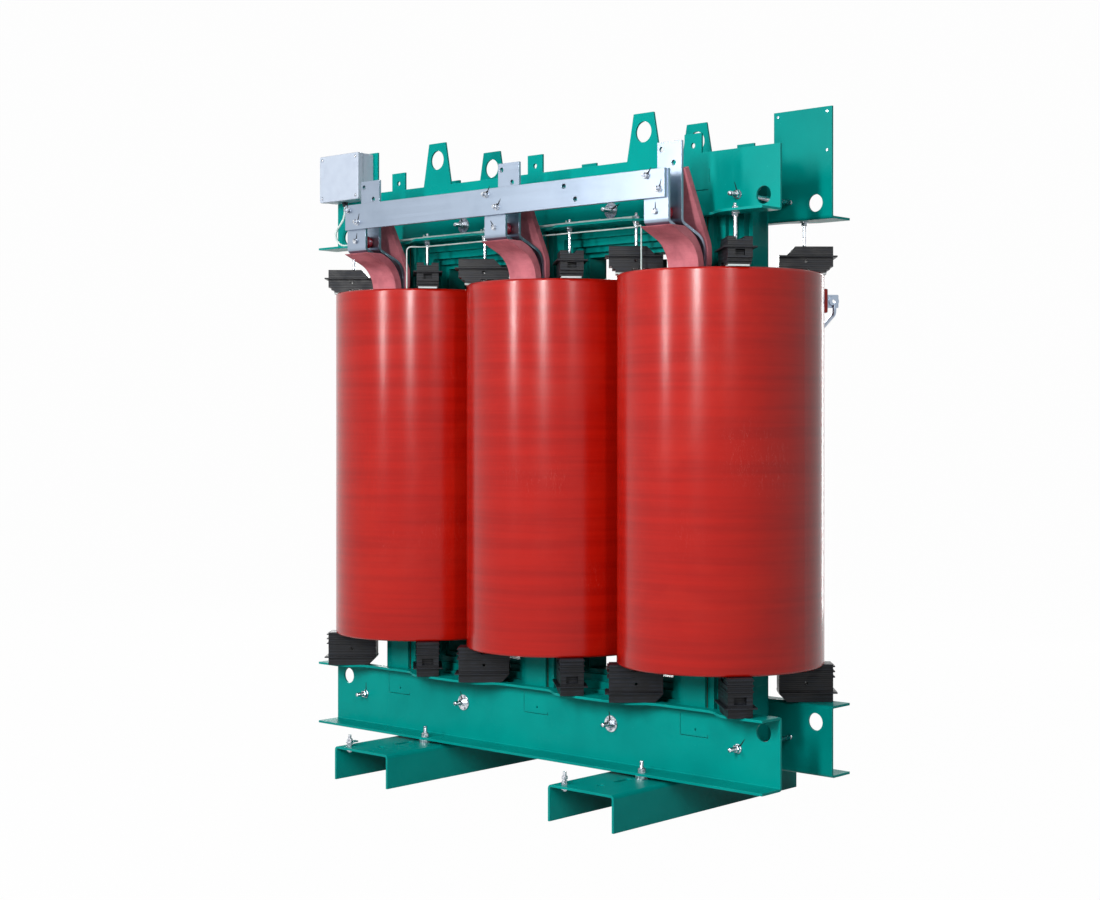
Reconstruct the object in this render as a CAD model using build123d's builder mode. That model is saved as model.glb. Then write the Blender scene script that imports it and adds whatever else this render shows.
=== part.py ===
"""Dry-type three-phase transformer with cast-resin coils, built piece by piece.

Millimetres. +Z is up, X runs along the row of coils, -Y is the low-voltage side.
The origin is on the floor, at the middle of the row of coils.
"""
from build123d import *
from math import atan2, cos, radians, sin, sqrt
import os

os.makedirs("parts", exist_ok=True)

# ---------------------------------------------------------------- driving sizes
# Coils
hv_outer_radius = 345.0       # cast-resin high-voltage coil
coil_gap = 30.0               # clear space between neighbouring coils
coil_pitch = 2 * hv_outer_radius + coil_gap
hv_wall = 55.0                # radial build of the high-voltage coil
coil_length = 1294.0
coil_rim_radius = 9.0         # rounding of the rims
coil_air_gap = 28.0           # ring-shaped duct between the two windings
lv_wall = 74.0                # radial build of the low-voltage foil coil

# Feet and beams, from the floor up
foot_spacing = 1070.0         # between the two foot channels, centre to centre
foot_width = 286.0
foot_length = 976.0
foot_height = 120.0
foot_plate = 8.0              # plate the channels are bent from
foot_bend = 14.0
spacer_height = 12.0          # washers between channel and beam
beam_length = 2150.0
beam_plate = 8.0
beam_bend = 12.0
lower_beam_height = 235.0
upper_beam_height = 212.0
web_gap = 274.0               # clear distance between front and rear webs
flange_reach = 95.0           # outward from the outer face of the web
flange_narrow = 42.0          # where the wavy edge comes in, at each limb
wave_left = 115.0             # narrow part, left of the limb centre
wave_right = 85.0             # and right of it
wave_run = 130.0              # length of each smooth change of width

# Coil supports
lower_support_height = 125.0
upper_support_height = 86.0
support_pad = 6.0             # elastic pad between coil and upper support
support_angle = 42.0          # from the length of the transformer
support_overhang = 27.0       # support beyond the high-voltage coil
support_inset = 4.0           # its inner end, from the bore of the low-voltage coil
rim_overhang = 5.0            # elastic pad beyond the high-voltage coil
support_width = 80.0
stud_inset = 10.0             # pressure studs, inward of the high-voltage coil's bore
support_to_flange = 84.0      # bare stud between upper support and beam

# Core
core_clearance = 16.0         # from the low-voltage coil to the oval the steps fill
core_flattening = 38.0        # the oval is this much less deep than wide, halved
widest_step_inset = 7.0       # the widest step stops this far inside the oval
core_step_widths = (0.0, 15.0, 35.0, 60.0, 95.0)   # each step's cut-back from the widest
yoke_half_height = 150.0
yoke_clearance_top = 87.0     # coil top to upper yoke
tie_plate_half_width = 44.0
tie_plate = 10.0

# Lifting lugs, earth and hauling holes
lug_x = 506.0
lug_height = 157.0
lug_base = 146.0
lug_top = 87.0
lug_hole = 70.0
lug_hole_drop = 63.0
small_lug_width = 72.0
small_lug_height = 65.0
small_lug_hole = 18.0
hauling_hole = 58.0
hauling_x = 1009.0
end_plate_inner_x = 840.0
end_plate_height = 155.0

# Low-voltage bars
bar_width = 100.0
bar_plate = 10.0
bar_offset = 61.0             # bar centre, to the right of the coil axis
front_bar_y = -398.0          # centre plane of the star-side bars
phase_bar_y = -333.0          # centre plane of the phase bars
phase_bar_top = 2185.0
neutral_height = 91.0
neutral_plate = 15.0
neutral_bottom = 1999.0
neutral_left = -704.0
neutral_right = 828.0
terminal_hole = 18.0
terminal_hole_dx = 51.0       # the two holes of a pair, apart along X
terminal_hole_dz = 46.0       # and along Z
sleeve_plate = 28.0
sleeve_width = 126.0
rear_sleeve_plate = 20.0
rear_sleeve_width = 112.0
standoff_z = 1958.0
standoff_radius = 25.0

# Fasteners
m12 = 12.0
m16 = 16.0
clearance = 1.0               # added to a bolt's size for its hole

# ---------------------------------------------------------------- derived sizes
limbs = (-coil_pitch, 0.0, coil_pitch)
beam_bottom = foot_height + spacer_height
beam_top = beam_bottom + lower_beam_height
coil_bottom = beam_top + lower_support_height
coil_top = coil_bottom + coil_length
upper_support_bottom = coil_top + support_pad
upper_support_top = upper_support_bottom + upper_support_height
upper_beam_bottom = upper_support_top + support_to_flange
upper_beam_top = upper_beam_bottom + upper_beam_height
web_inner = web_gap / 2
web_outer = web_inner + beam_plate
flange_edge = web_outer + flange_reach
flange_narrow_edge = web_outer + flange_narrow
beam_end = beam_length / 2
lower_yoke_z = beam_bottom + yoke_half_height
upper_yoke_z = coil_top + yoke_clearance_top + yoke_half_height
hv_inner_radius = hv_outer_radius - hv_wall
lv_outer_radius = hv_inner_radius - coil_air_gap
lv_inner_radius = lv_outer_radius - lv_wall
core_axis_x = lv_inner_radius - core_clearance
core_axis_y = core_axis_x - core_flattening
limb_half_width = core_axis_x - widest_step_inset
support_outer = hv_outer_radius + support_overhang
support_inner = lv_inner_radius + support_inset
pad_outer = hv_outer_radius + rim_overhang
stud_radius_place = hv_inner_radius - stud_inset
foot_x = foot_spacing / 2
stud_dx = stud_radius_place * cos(radians(support_angle))
stud_dy = stud_radius_place * sin(radians(support_angle))
sleeve_top = upper_beam_bottom - 37.0
hv_terminal_top_z = coil_top - 83.0
hv_terminal_bottom_z = coil_bottom + 83.0


def half_depth(cut_back):
    """Half depth of the core step whose half width is cut back by this much."""
    half_width = limb_half_width - cut_back
    return core_axis_y * sqrt(1 - (half_width / core_axis_x) ** 2)


core_depth = half_depth(core_step_widths[-1])


def save(shape, label):
    """Name one piece and write its STEP file."""
    shape.label = label
    export_step(shape, f"parts/{label}.step")


def save_group(shapes, label):
    """Write several separate solids as one node."""
    group = Compound(children=[s for s in shapes])
    save(group, label)


def turned(shape, angle=180.0):
    """A copy turned about the vertical axis through the origin."""
    return Rot(0, 0, angle) * shape


# ---------------------------------------------------------------- fastener blanks
def hex_nut(size, across_flats, thickness):
    """Hexagon nut standing on the XY plane, bore on the Z axis."""
    with BuildPart() as nut:
        with BuildSketch():
            RegularPolygon(across_flats / 2, 6, major_radius=False)
            Circle(size / 2, mode=Mode.SUBTRACT)
        extrude(amount=thickness)
        rim = nut.faces().sort_by(Axis.Z)[-1].outer_wire().edges()
        chamfer(rim, thickness * 0.12)
    return nut.part


def washer(size, outside, thickness):
    """Flat washer standing on the XY plane."""
    with BuildPart() as ring:
        with BuildSketch():
            Circle(outside / 2)
            Circle(size / 2, mode=Mode.SUBTRACT)
        extrude(amount=thickness)
    return ring.part


def rod(size, length):
    """Plain stud standing on the XY plane, with chamfered ends."""
    with BuildPart() as stud:
        with BuildSketch():
            Circle(size / 2)
        extrude(amount=length)
        chamfer(stud.edges(), size * 0.1)
    return stud.part


def hex_bolt(size, across_flats, head, length):
    """Bolt with its head standing on the XY plane and its shank going down."""
    with BuildPart() as bolt:
        with BuildSketch():
            RegularPolygon(across_flats / 2, 6, major_radius=False)
        extrude(amount=head)
        chamfer(bolt.faces().sort_by(Axis.Z)[-1].edges(), head * 0.12)
        with BuildSketch():
            Circle(size / 2)
        extrude(amount=-length)
    return bolt.part


def front_facing(x, y, z):
    """Placement that turns a blank's +Z towards the front."""
    return Pos(x, y, z) * Rot(90, 0, 0)


def rear_facing(x, y, z):
    """Placement that turns a blank's +Z towards the rear."""
    return Pos(x, y, z) * Rot(-90, 0, 0)


# ---------------------------------------------------------------- stepped core
inner_stud_x = 362.0
lower_inner_stud_z = lower_yoke_z - 12.0
upper_inner_stud_z = upper_yoke_z - 8.0
outer_stud_x = 907.0
lower_outer_stud_z = lower_yoke_z - 33.0
upper_outer_stud_z = upper_yoke_z + 2.0


def layer_edges(index):
    """Inner and outer half depth of one layer of the core."""
    outer = half_depth(core_step_widths[index])
    inner = half_depth(core_step_widths[index - 1]) if index else 0.0
    return inner, outer


def add_layer(width, height, index, x, z):
    """Block of sheets on both sides of the middle plane."""
    inner, outer = layer_edges(index)
    depth = outer - inner
    with Locations((x, inner + depth / 2, z), (x, -inner - depth / 2, z)):
        Box(width, depth, height)


def core_limb(x):
    """One limb: layers get narrower towards the front and the rear."""
    with BuildPart() as limb:
        for index, cut_back in enumerate(core_step_widths):
            bottom = lower_yoke_z + yoke_half_height - cut_back
            top = upper_yoke_z - yoke_half_height + cut_back
            width = 2 * (limb_half_width - cut_back)
            add_layer(width, top - bottom, index, x, (top + bottom) / 2)
    return limb.part


def core_yoke(z, stud_z):
    """One yoke: the same layers laid along X, drilled for its clamp studs."""
    with BuildPart() as yoke:
        for index, cut_back in enumerate(core_step_widths):
            length = 2 * (coil_pitch + limb_half_width - cut_back)
            height = 2 * (yoke_half_height - cut_back)
            add_layer(length, height, index, 0, z)
        with BuildSketch(Plane.XZ.offset(-web_inner)):
            with Locations((-inner_stud_x, stud_z), (inner_stud_x, stud_z)):
                Circle(m16 / 2 + clearance)
        extrude(amount=web_gap, mode=Mode.SUBTRACT)
    return yoke.part


save_group([core_limb(x) for x in limbs], "core_limbs")
save(core_yoke(lower_yoke_z, lower_inner_stud_z), "core_lower_yoke")
save(core_yoke(upper_yoke_z, upper_inner_stud_z), "core_upper_yoke")


# ---------------------------------------------------------------- tie plates and boards
def upright_strip(x, half_width, inner_y, outer_y, bottom, top):
    """Flat strip standing against a limb on the front side."""
    with BuildPart() as strip:
        with BuildSketch(Plane.XZ.offset(inner_y)):
            with Locations((x, (bottom + top) / 2)):
                Rectangle(2 * half_width, top - bottom)
        extrude(amount=outer_y - inner_y)
    return strip.part


tie_inner = web_inner - tie_plate
tie_bottom = beam_bottom + 18.0
tie_top = upper_beam_top - 18.0
tie_fronts = [upright_strip(x, tie_plate_half_width, tie_inner, web_inner, tie_bottom, tie_top)
              for x in limbs]
save_group(tie_fronts + [turned(t) for t in tie_fronts], "tie_plates")
tie_boards = [upright_strip(x, tie_plate_half_width, core_depth, tie_inner, tie_bottom, tie_top)
              for x in limbs]
save_group(tie_boards + [turned(t) for t in tie_boards], "tie_plate_boards")

board_gap = 6.0
board_half_height = yoke_half_height - core_step_widths[-1]


def yoke_board(left, right, z, stud_z):
    """Insulating board between a yoke and the front web, drilled for the stud."""
    with BuildPart() as board:
        with BuildSketch(Plane.XZ.offset(core_depth)):
            with Locations(((left + right) / 2, z)):
                Rectangle(right - left, 2 * board_half_height)
            if left < inner_stud_x < right:
                with Locations((inner_stud_x, stud_z)):
                    Circle(m16 / 2 + clearance, mode=Mode.SUBTRACT)
            if left < -inner_stud_x < right:
                with Locations((-inner_stud_x, stud_z)):
                    Circle(m16 / 2 + clearance, mode=Mode.SUBTRACT)
        extrude(amount=web_inner - core_depth)
    return board.part


board_stop = tie_plate_half_width + board_gap
board_end = coil_pitch + limb_half_width - core_step_widths[-1]
boards = []
for z, stud_z in ((lower_yoke_z, lower_inner_stud_z), (upper_yoke_z, upper_inner_stud_z)):
    boards.append(yoke_board(-coil_pitch + board_stop, -board_stop, z, stud_z))
    boards.append(yoke_board(board_stop, coil_pitch - board_stop, z, stud_z))
    boards.append(yoke_board(coil_pitch + board_stop, board_end, z, stud_z))
    boards.append(yoke_board(-board_end, -coil_pitch - board_stop, z, stud_z))
save_group(boards + [turned(b) for b in boards], "yoke_boards")


# ---------------------------------------------------------------- clamping beams
foot_bolt_y = 223.0
foot_bolt_left = -484.0
foot_bolt_right = 567.0
slit_width = 2.5


def cut_waves(z):
    """Trim the front edge of a flange to its wavy outline."""
    for x in limbs:
        with BuildSketch(Plane.XY.offset(z - beam_plate - 1)) as wave:
            with BuildLine():
                left_out = (x - wave_left - wave_run, -flange_edge)
                left_in = (x - wave_left, -flange_narrow_edge)
                right_in = (x + wave_right, -flange_narrow_edge)
                right_out = (x + wave_right + wave_run, -flange_edge)
                Spline(left_out, left_in, tangents=((1, 0), (1, 0)))
                Line(left_in, right_in)
                Spline(right_in, right_out, tangents=((1, 0), (1, 0)))
                Polyline(right_out, (right_out[0], -flange_edge - 5),
                         (left_out[0], -flange_edge - 5), left_out)
            make_face()
        extrude(wave.sketch, amount=beam_plate + 2, mode=Mode.SUBTRACT)


def drill_web(points, size):
    """Round holes through the front web at the given X and Z places."""
    with BuildSketch(Plane.XZ) as holes:
        with Locations(*points):
            Circle(size / 2)
    extrude(holes.sketch, amount=flange_edge, mode=Mode.SUBTRACT)


def slit_web(x, z, length, height):
    """Narrow laser-cut slit through the front web."""
    with BuildSketch(Plane.XZ) as slit:
        with Locations((x, z)):
            Rectangle(length, height)
    extrude(slit.sketch, amount=flange_edge, mode=Mode.SUBTRACT)


def make_lower_beam():
    """Front lower beam: plate bent to a C that opens to the front."""
    with BuildPart() as beam:
        with BuildSketch(Plane.YZ.offset(-beam_end)):
            with BuildLine():
                FilletPolyline((-flange_edge, beam_bottom), (-web_inner, beam_bottom),
                               (-web_inner, beam_top), (-flange_edge, beam_top),
                               radius=beam_bend)
                offset(amount=beam_plate, side=Side.LEFT)
            make_face()
        extrude(amount=beam_length)
        cut_waves(beam_top)
        drill_web([(-hauling_x, beam_top - 57), (hauling_x, beam_top - 57)], hauling_hole)
        drill_web([(-inner_stud_x, lower_inner_stud_z), (inner_stud_x, lower_inner_stud_z),
                   (-outer_stud_x, lower_outer_stud_z), (outer_stud_x, lower_outer_stud_z)],
                  m16 + clearance)
        for x in limbs:
            slit_web(x - 54, beam_top - 63.5, slit_width, 71)
            slit_web(x + 4.5, beam_top - 99, 117, slit_width)
            slit_web(x + 62, beam_top - 94, slit_width, 8)
        drill_web([(x + 10, beam_top - 77) for x in limbs], 8)
        with BuildSketch(Plane.XY):
            with Locations((foot_bolt_left, -foot_bolt_y), (foot_bolt_right, -foot_bolt_y)):
                Circle((m16 + clearance) / 2)
        extrude(amount=beam_bottom + 2 * beam_plate, mode=Mode.SUBTRACT)
    return beam.part


def web_plate(points):
    """Flat extension of the front upper web, drawn by its corners in X and Z."""
    with BuildSketch(Plane.XZ.offset(web_inner)) as outline:
        with BuildLine():
            Polyline(*points, close=True)
        make_face()
    extrude(outline.sketch, amount=beam_plate)


def make_upper_beam():
    """Front upper beam: plate bent to an L, with its lugs cut from the same plate."""
    lug_root = upper_beam_top - 20
    with BuildPart() as beam:
        with BuildSketch(Plane.YZ.offset(-beam_end)):
            with BuildLine():
                FilletPolyline((-flange_edge, upper_beam_bottom),
                               (-web_inner, upper_beam_bottom),
                               (-web_inner, upper_beam_top), radius=beam_bend)
                offset(amount=beam_plate, side=Side.LEFT)
            make_face()
        extrude(amount=beam_length)
        for x in (-lug_x, lug_x):
            web_plate([(x - lug_base / 2, lug_root), (x + lug_base / 2, lug_root),
                       (x + lug_base / 2, upper_beam_top),
                       (x + lug_top / 2, upper_beam_top + lug_height),
                       (x - lug_top / 2, upper_beam_top + lug_height),
                       (x - lug_base / 2, upper_beam_top)])
        for x in limbs:
            half = small_lug_width / 2
            web_plate([(x - half, lug_root), (x + half, lug_root),
                       (x + half, upper_beam_top + small_lug_height),
                       (x - half, upper_beam_top + small_lug_height)])
        end_top = upper_beam_top + end_plate_height
        web_plate([(-beam_end, lug_root), (-end_plate_inner_x, lug_root),
                   (-end_plate_inner_x, end_top), (-beam_end, end_top)])
        cut_waves(upper_beam_bottom + beam_plate)
        drill_web([(-lug_x, upper_beam_top + lug_height - lug_hole_drop),
                   (lug_x, upper_beam_top + lug_height - lug_hole_drop)], lug_hole)
        drill_web([(x, upper_beam_top + 26) for x in limbs], small_lug_hole)
        drill_web([(-hauling_x, upper_beam_bottom + 54),
                   (hauling_x, upper_beam_bottom + 54)], hauling_hole)
        drill_web([(-inner_stud_x, upper_inner_stud_z), (inner_stud_x, upper_inner_stud_z),
                   (-outer_stud_x, upper_outer_stud_z), (outer_stud_x, upper_outer_stud_z)],
                  m16 + clearance)
        for x in limbs:
            slit_web(x + 68, upper_beam_bottom + 134.5, slit_width, 45)
            slit_web(x + 36, upper_beam_bottom + 89, 58, slit_width)
        with BuildSketch(Plane.XY.offset(upper_beam_bottom - 1)):
            with Locations(*[(x + side * stud_dx, -stud_dy) for x in limbs
                             for side in (-1, 1)]):
                Circle((m12 + clearance) / 2)
        extrude(amount=2 * beam_plate, mode=Mode.SUBTRACT)
    return beam.part


lower_beam = make_lower_beam()
upper_beam = make_upper_beam()
save(lower_beam, "lower_beam_front")
save(turned(lower_beam), "lower_beam_rear")
save(upper_beam, "upper_beam_front")
save(turned(upper_beam), "upper_beam_rear")


# ---------------------------------------------------------------- clamp studs through both beams
nut_m16 = hex_nut(m16, 24, 13)
washer_m16 = washer(m16, 30, 3)
wide_washer_m16 = washer(m16, 56, 4)
stud_sticks_out = 46.0
clamp_stud = rod(m16, 2 * (web_outer + stud_sticks_out))


def clamp_places(inner_z, outer_z):
    """X, Z and washer thickness for the four studs of one pair of beams."""
    return [(-inner_stud_x, inner_z, 4), (inner_stud_x, inner_z, 4),
            (-outer_stud_x, outer_z, 3), (outer_stud_x, outer_z, 3)]


for level, inner_z, outer_z in (("lower", lower_inner_stud_z, lower_outer_stud_z),
                                ("upper", upper_inner_stud_z, upper_outer_stud_z)):
    studs, nuts, rings = [], [], []
    for x, z, ring in clamp_places(inner_z, outer_z):
        blank = wide_washer_m16 if ring == 4 else washer_m16
        studs.append(front_facing(x, web_outer + stud_sticks_out, z) * clamp_stud)
        rings.append(front_facing(x, -web_outer, z) * blank)
        rings.append(rear_facing(x, web_outer, z) * blank)
        nuts.append(front_facing(x, -web_outer - ring, z) * nut_m16)
        nuts.append(rear_facing(x, web_outer + ring, z) * nut_m16)
    save_group(studs, f"{level}_clamp_studs")
    save_group(rings, f"{level}_clamp_washers")
    save_group(nuts, f"{level}_clamp_nuts")


# ---------------------------------------------------------------- foot channels
slot_length = 75.0
slot_width = 24.0
slot_y = 284.0
foot_hole_y = 392.0
earth_x = 98.0                # from the channel centre, towards the outside
earth_y = 456.0


def foot_channel(x, bolt_places, earth_place):
    """Plate bent to an upturned U, lying across under both beams."""
    with BuildPart() as channel:
        with BuildSketch(Plane.XZ.offset(-foot_length / 2)):
            with BuildLine():
                FilletPolyline((x - foot_width / 2, 0), (x - foot_width / 2, foot_height),
                               (x + foot_width / 2, foot_height), (x + foot_width / 2, 0),
                               radius=foot_bend)
                offset(amount=foot_plate, side=Side.RIGHT)
            make_face()
        extrude(amount=foot_length)
        with BuildSketch(Plane.XY.offset(foot_height)):
            with Locations((x, -foot_hole_y), (x, foot_hole_y)):
                Circle(slot_width / 2)
            with Locations((x, -slot_y), (x, slot_y)):
                SlotOverall(slot_length, slot_width, rotation=90)
            with Locations(*bolt_places):
                Circle((m16 + clearance) / 2)
            with Locations(earth_place):
                Circle((m12 + clearance) / 2)
        extrude(amount=-foot_plate - 1, mode=Mode.SUBTRACT)
    return channel.part


left_bolts = [(foot_bolt_left, -foot_bolt_y), (-foot_bolt_right, foot_bolt_y)]
right_bolts = [(foot_bolt_right, -foot_bolt_y), (-foot_bolt_left, foot_bolt_y)]
save(foot_channel(-foot_x, left_bolts, (-foot_x - earth_x, -earth_y)), "foot_channel_left")
save(foot_channel(foot_x, right_bolts, (foot_x - earth_x, -earth_y)), "foot_channel_right")

foot_grip = foot_plate + spacer_height + beam_plate
foot_bolt = rod(m16, foot_grip + 62)
foot_bolts, foot_nuts, foot_washers, foot_spacers = [], [], [], []
for x, y in left_bolts + right_bolts:
    low = foot_height - foot_plate
    foot_bolts.append(Pos(x, y, low - 22) * foot_bolt)
    foot_nuts.append(Pos(x, y, low - 3) * Rot(180, 0, 0) * nut_m16)
    foot_nuts.append(Pos(x, y, low + foot_grip + 3) * nut_m16)
    foot_washers.append(Pos(x, y, low - 3) * washer_m16)
    foot_washers.append(Pos(x, y, low + foot_grip) * washer_m16)
    foot_spacers.append(Pos(x, y, foot_height) * washer(m16 + clearance, 46, spacer_height))
save_group(foot_bolts, "foot_bolts")
save_group(foot_nuts, "foot_nuts")
save_group(foot_washers, "foot_washers")
save_group(foot_spacers, "foot_spacers")

# Earth screws: a stud with two nuts on each channel, the left one with a cable lug
nut_m12 = hex_nut(m12, 18, 10)
washer_m12 = washer(m12, 24, 2.5)
earth_stud = rod(m12, 64)
earth_set = []
for x in (-foot_x - earth_x, foot_x - earth_x):
    earth_set.append(Pos(x, -earth_y, foot_height - foot_plate - 14) * earth_stud)
    earth_set.append(Pos(x, -earth_y, foot_height - foot_plate) * Rot(180, 0, 0) * nut_m12)
    earth_set.append(Pos(x, -earth_y, foot_height) * washer_m12)
    earth_set.append(Pos(x, -earth_y, foot_height + 2.5) * nut_m12)
    earth_set.append(Pos(x, -earth_y, foot_height + 12.5 + 5) * nut_m12)
save_group(earth_set, "earth_screws")
with BuildPart() as earth_lug:
    with BuildSketch(Plane.XY.offset(foot_height + 12.5)):
        with Locations((-foot_x - earth_x, -earth_y)):
            Circle(13)
        with Locations((-foot_x - earth_x, -earth_y + 16)):
            Rectangle(18, 32)
        with Locations((-foot_x - earth_x, -earth_y)):
            Circle(m12 / 2, mode=Mode.SUBTRACT)
    extrude(amount=5)
save(earth_lug.part, "earth_lug")


# ---------------------------------------------------------------- coils
terminal_angle = 52.0
tap_panel_height = 380.0


def lv_coil(x):
    """Low-voltage foil coil: a plain thick-walled cylinder."""
    with BuildPart() as coil:
        with BuildSketch(Plane.XY.offset(coil_bottom)):
            with Locations((x, 0)):
                Circle(lv_outer_radius)
                Circle(lv_inner_radius, mode=Mode.SUBTRACT)
        extrude(amount=coil_length)
    return coil.part


def hv_coil(x):
    """High-voltage coil with cast bosses for its terminals and its taps at the rear."""
    with BuildPart() as coil:
        with BuildSketch(Plane.XY.offset(coil_bottom)):
            with Locations((x, 0)):
                Circle(hv_outer_radius)
                Circle(hv_inner_radius, mode=Mode.SUBTRACT)
        extrude(amount=coil_length)
        rims = coil.edges().filter_by(GeomType.CIRCLE).sort_by(SortBy.RADIUS)[-2:]
        fillet(rims, coil_rim_radius)
        for angle, z, width, height in ((terminal_angle, hv_terminal_top_z, 70, 90),
                                        (180 - terminal_angle, hv_terminal_bottom_z, 70, 90),
                                        (90, (coil_top + coil_bottom) / 2, 190,
                                         tap_panel_height)):
            direction = Vector(cos(radians(angle)), sin(radians(angle)), 0)
            start = Vector(x, 0, z) + direction * (hv_outer_radius - 18)
            with BuildSketch(Plane(origin=start, x_dir=(0, 0, 1), z_dir=direction)):
                RectangleRounded(height, width, 12)
            extrude(amount=36, taper=8)
    return coil.part


for name, x in zip(("left", "middle", "right"), limbs):
    save(hv_coil(x), f"hv_coil_{name}")
save_group([lv_coil(x) for x in limbs], "lv_coils")


# ---------------------------------------------------------------- coil supports
fin_reach = 6.0
shed_reach = 13.0              # the one long creepage fin of each support
stack_inner = hv_inner_radius + 3      # rib stack that carries the high-voltage coil
step_outer = lv_outer_radius - 24      # inner step that carries the low-voltage coil


def fin(from_radius, z, thickness, overhang, reach=fin_reach):
    """Creepage fin standing out round the end and the sides of a support."""
    length = support_outer + reach - from_radius
    with Locations((from_radius + length / 2, 0, z + thickness / 2)):
        Box(length, support_width + 2 * overhang, thickness)


def lower_support_blank():
    """Support under the coils, drawn along +X from the coil axis, base at zero."""
    top = lower_support_height
    with BuildPart() as block:
        with BuildSketch(Plane.XZ.offset(-support_width / 2)):
            with BuildLine():
                Polyline((step_outer - 19, 0), (support_outer, 0), (support_outer, top), (stack_inner, top),
                         (stack_inner, 101), (step_outer, 101), (step_outer, top),
                         (support_inner, top), (support_inner, 27), close=True)
            make_face()
        extrude(amount=support_width)
        fin(support_inner, 29, 5, shed_reach, shed_reach)
        fin(stack_inner - 3, 81, 4, 3)
        fin(stack_inner - 3, 99, 4, 3)
        fin(stack_inner - 3, 116, 4, 3)
        with BuildSketch(Plane.YZ.offset(support_outer)):
            with Locations((0, 54)):
                Rectangle(40, 24)
        extrude(amount=-22, mode=Mode.SUBTRACT)
        with BuildSketch(Plane.XZ.offset(-support_width / 2)):
            with Locations((282, 62)):
                Circle(5)
        extrude(amount=support_width, mode=Mode.SUBTRACT)
    return block.part


def upper_support_blank():
    """Support above the coils, same frame, its lowest face at zero."""
    top = upper_support_height
    with BuildPart() as block:
        with BuildSketch(Plane.XZ.offset(-support_width / 2)):
            with BuildLine():
                Polyline((support_inner, 0), (step_outer, 0), (step_outer, 12),
                         (stack_inner, 12), (stack_inner, 0), (pad_outer, 0), (pad_outer, 9),
                         (pad_outer + 11, 9), (pad_outer + 11, 19), (support_outer, 19),
                         (support_outer, top), (step_outer + 8, top), (step_outer - 20, 57),
                         (support_inner, 57), close=True)
            make_face()
        extrude(amount=support_width)
        fin(support_inner, 50, 5, shed_reach, shed_reach)
        with BuildSketch(Plane.YZ.offset(support_outer)):
            with Locations((0, 36)):
                Rectangle(30, 19)
        extrude(amount=-22, mode=Mode.SUBTRACT)
        with BuildSketch(Plane.XY.offset(top)):
            with Locations(((lv_outer_radius + support_outer) / 2, 0)):
                Rectangle(support_outer - lv_outer_radius, 28)
        extrude(amount=-10, mode=Mode.SUBTRACT)
        with BuildSketch(Plane.XY.offset(top - 10)):
            with Locations((stud_radius_place, 0)):
                Circle(m12 / 2)
        extrude(amount=-16, mode=Mode.SUBTRACT)
        with BuildSketch(Plane.XZ.offset(-support_width / 2)):
            with Locations((stud_radius_place + 2, 38)):
                Circle(5)
        extrude(amount=support_width, mode=Mode.SUBTRACT)
    return block.part


def pad_blank(inner, outer):
    """Elastic pad under one foot of an upper support."""
    with BuildPart() as pad:
        with BuildSketch(Plane.XY.offset(coil_top)):
            with Locations(((inner + outer) / 2, 0)):
                Rectangle(outer - inner, support_width - 12)
        extrude(amount=support_pad)
    return pad.part


support_turns = (support_angle, 180 - support_angle, 180 + support_angle, -support_angle)
lower_blank = lower_support_blank()
upper_blank = upper_support_blank()
places = [Pos(x, 0, 0) * Rot(0, 0, turn) for x in limbs for turn in support_turns]
save_group([p * Pos(0, 0, beam_top) * lower_blank for p in places], "lower_supports")
save_group([p * Pos(0, 0, upper_support_bottom) * upper_blank for p in places],
           "upper_supports")
save_group([p * pad_blank(stack_inner, pad_outer) for p in places]
           + [p * pad_blank(support_inner, step_outer) for p in places], "support_pads")

# Pressure studs: each presses its support down from the upper beam's flange
pressure_bottom = upper_support_top - 26
pressure_end = 22.0            # stud standing above the flange
pressure_washer = washer(m12, 30, 2.5)
pressure_stud = rod(m12, upper_beam_bottom + beam_plate + pressure_end - pressure_bottom)
pressure_studs, pressure_nuts, pressure_washers = [], [], []
for x in limbs:
    for turn in support_turns:
        px = x + stud_radius_place * cos(radians(turn))
        py = stud_radius_place * sin(radians(turn))
        top = upper_beam_bottom + beam_plate
        pressure_studs.append(Pos(px, py, pressure_bottom) * pressure_stud)
        pressure_washers.append(Pos(px, py, upper_beam_bottom - 2.5) * pressure_washer)
        pressure_washers.append(Pos(px, py, top) * washer_m12)
        pressure_nuts.append(Pos(px, py, upper_beam_bottom - 2.5) * Rot(180, 0, 0) * nut_m12)
        pressure_nuts.append(Pos(px, py, top + 2.5) * nut_m12)
save_group(pressure_studs, "pressure_studs")
save_group(pressure_washers, "pressure_washers")
save_group(pressure_nuts, "pressure_nuts")


# ---------------------------------------------------------------- low-voltage bars
front_foot_y = -255.0          # where the star-side bars meet their coils
phase_foot_y = -217.0          # and the phase bars
bar_bend = 20.0                # sharp bend where a bar turns towards its coil
front_sweep = 100.0            # wide bend down into the coil
phase_sweep = 60.0
phase_above_sleeve = 3.0       # the phase bars turn a little higher, clear of the jackets
front_knee = 78.0              # corner of the wide bend, above the coil
phase_knee = 92.0
board_knee = 74.0
board_sweep = 60.0
front_path = [(front_bar_y, neutral_bottom + neutral_height),
              (front_bar_y, sleeve_top),
              (front_foot_y, coil_top + front_knee), (front_foot_y, coil_top)]
phase_path = [(phase_bar_y, phase_bar_top), (phase_bar_y, sleeve_top + phase_above_sleeve),
              (phase_foot_y, coil_top + phase_knee), (phase_foot_y, coil_top)]
front_bends = [bar_bend, front_sweep]
phase_bends = [bar_bend, phase_sweep]


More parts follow.
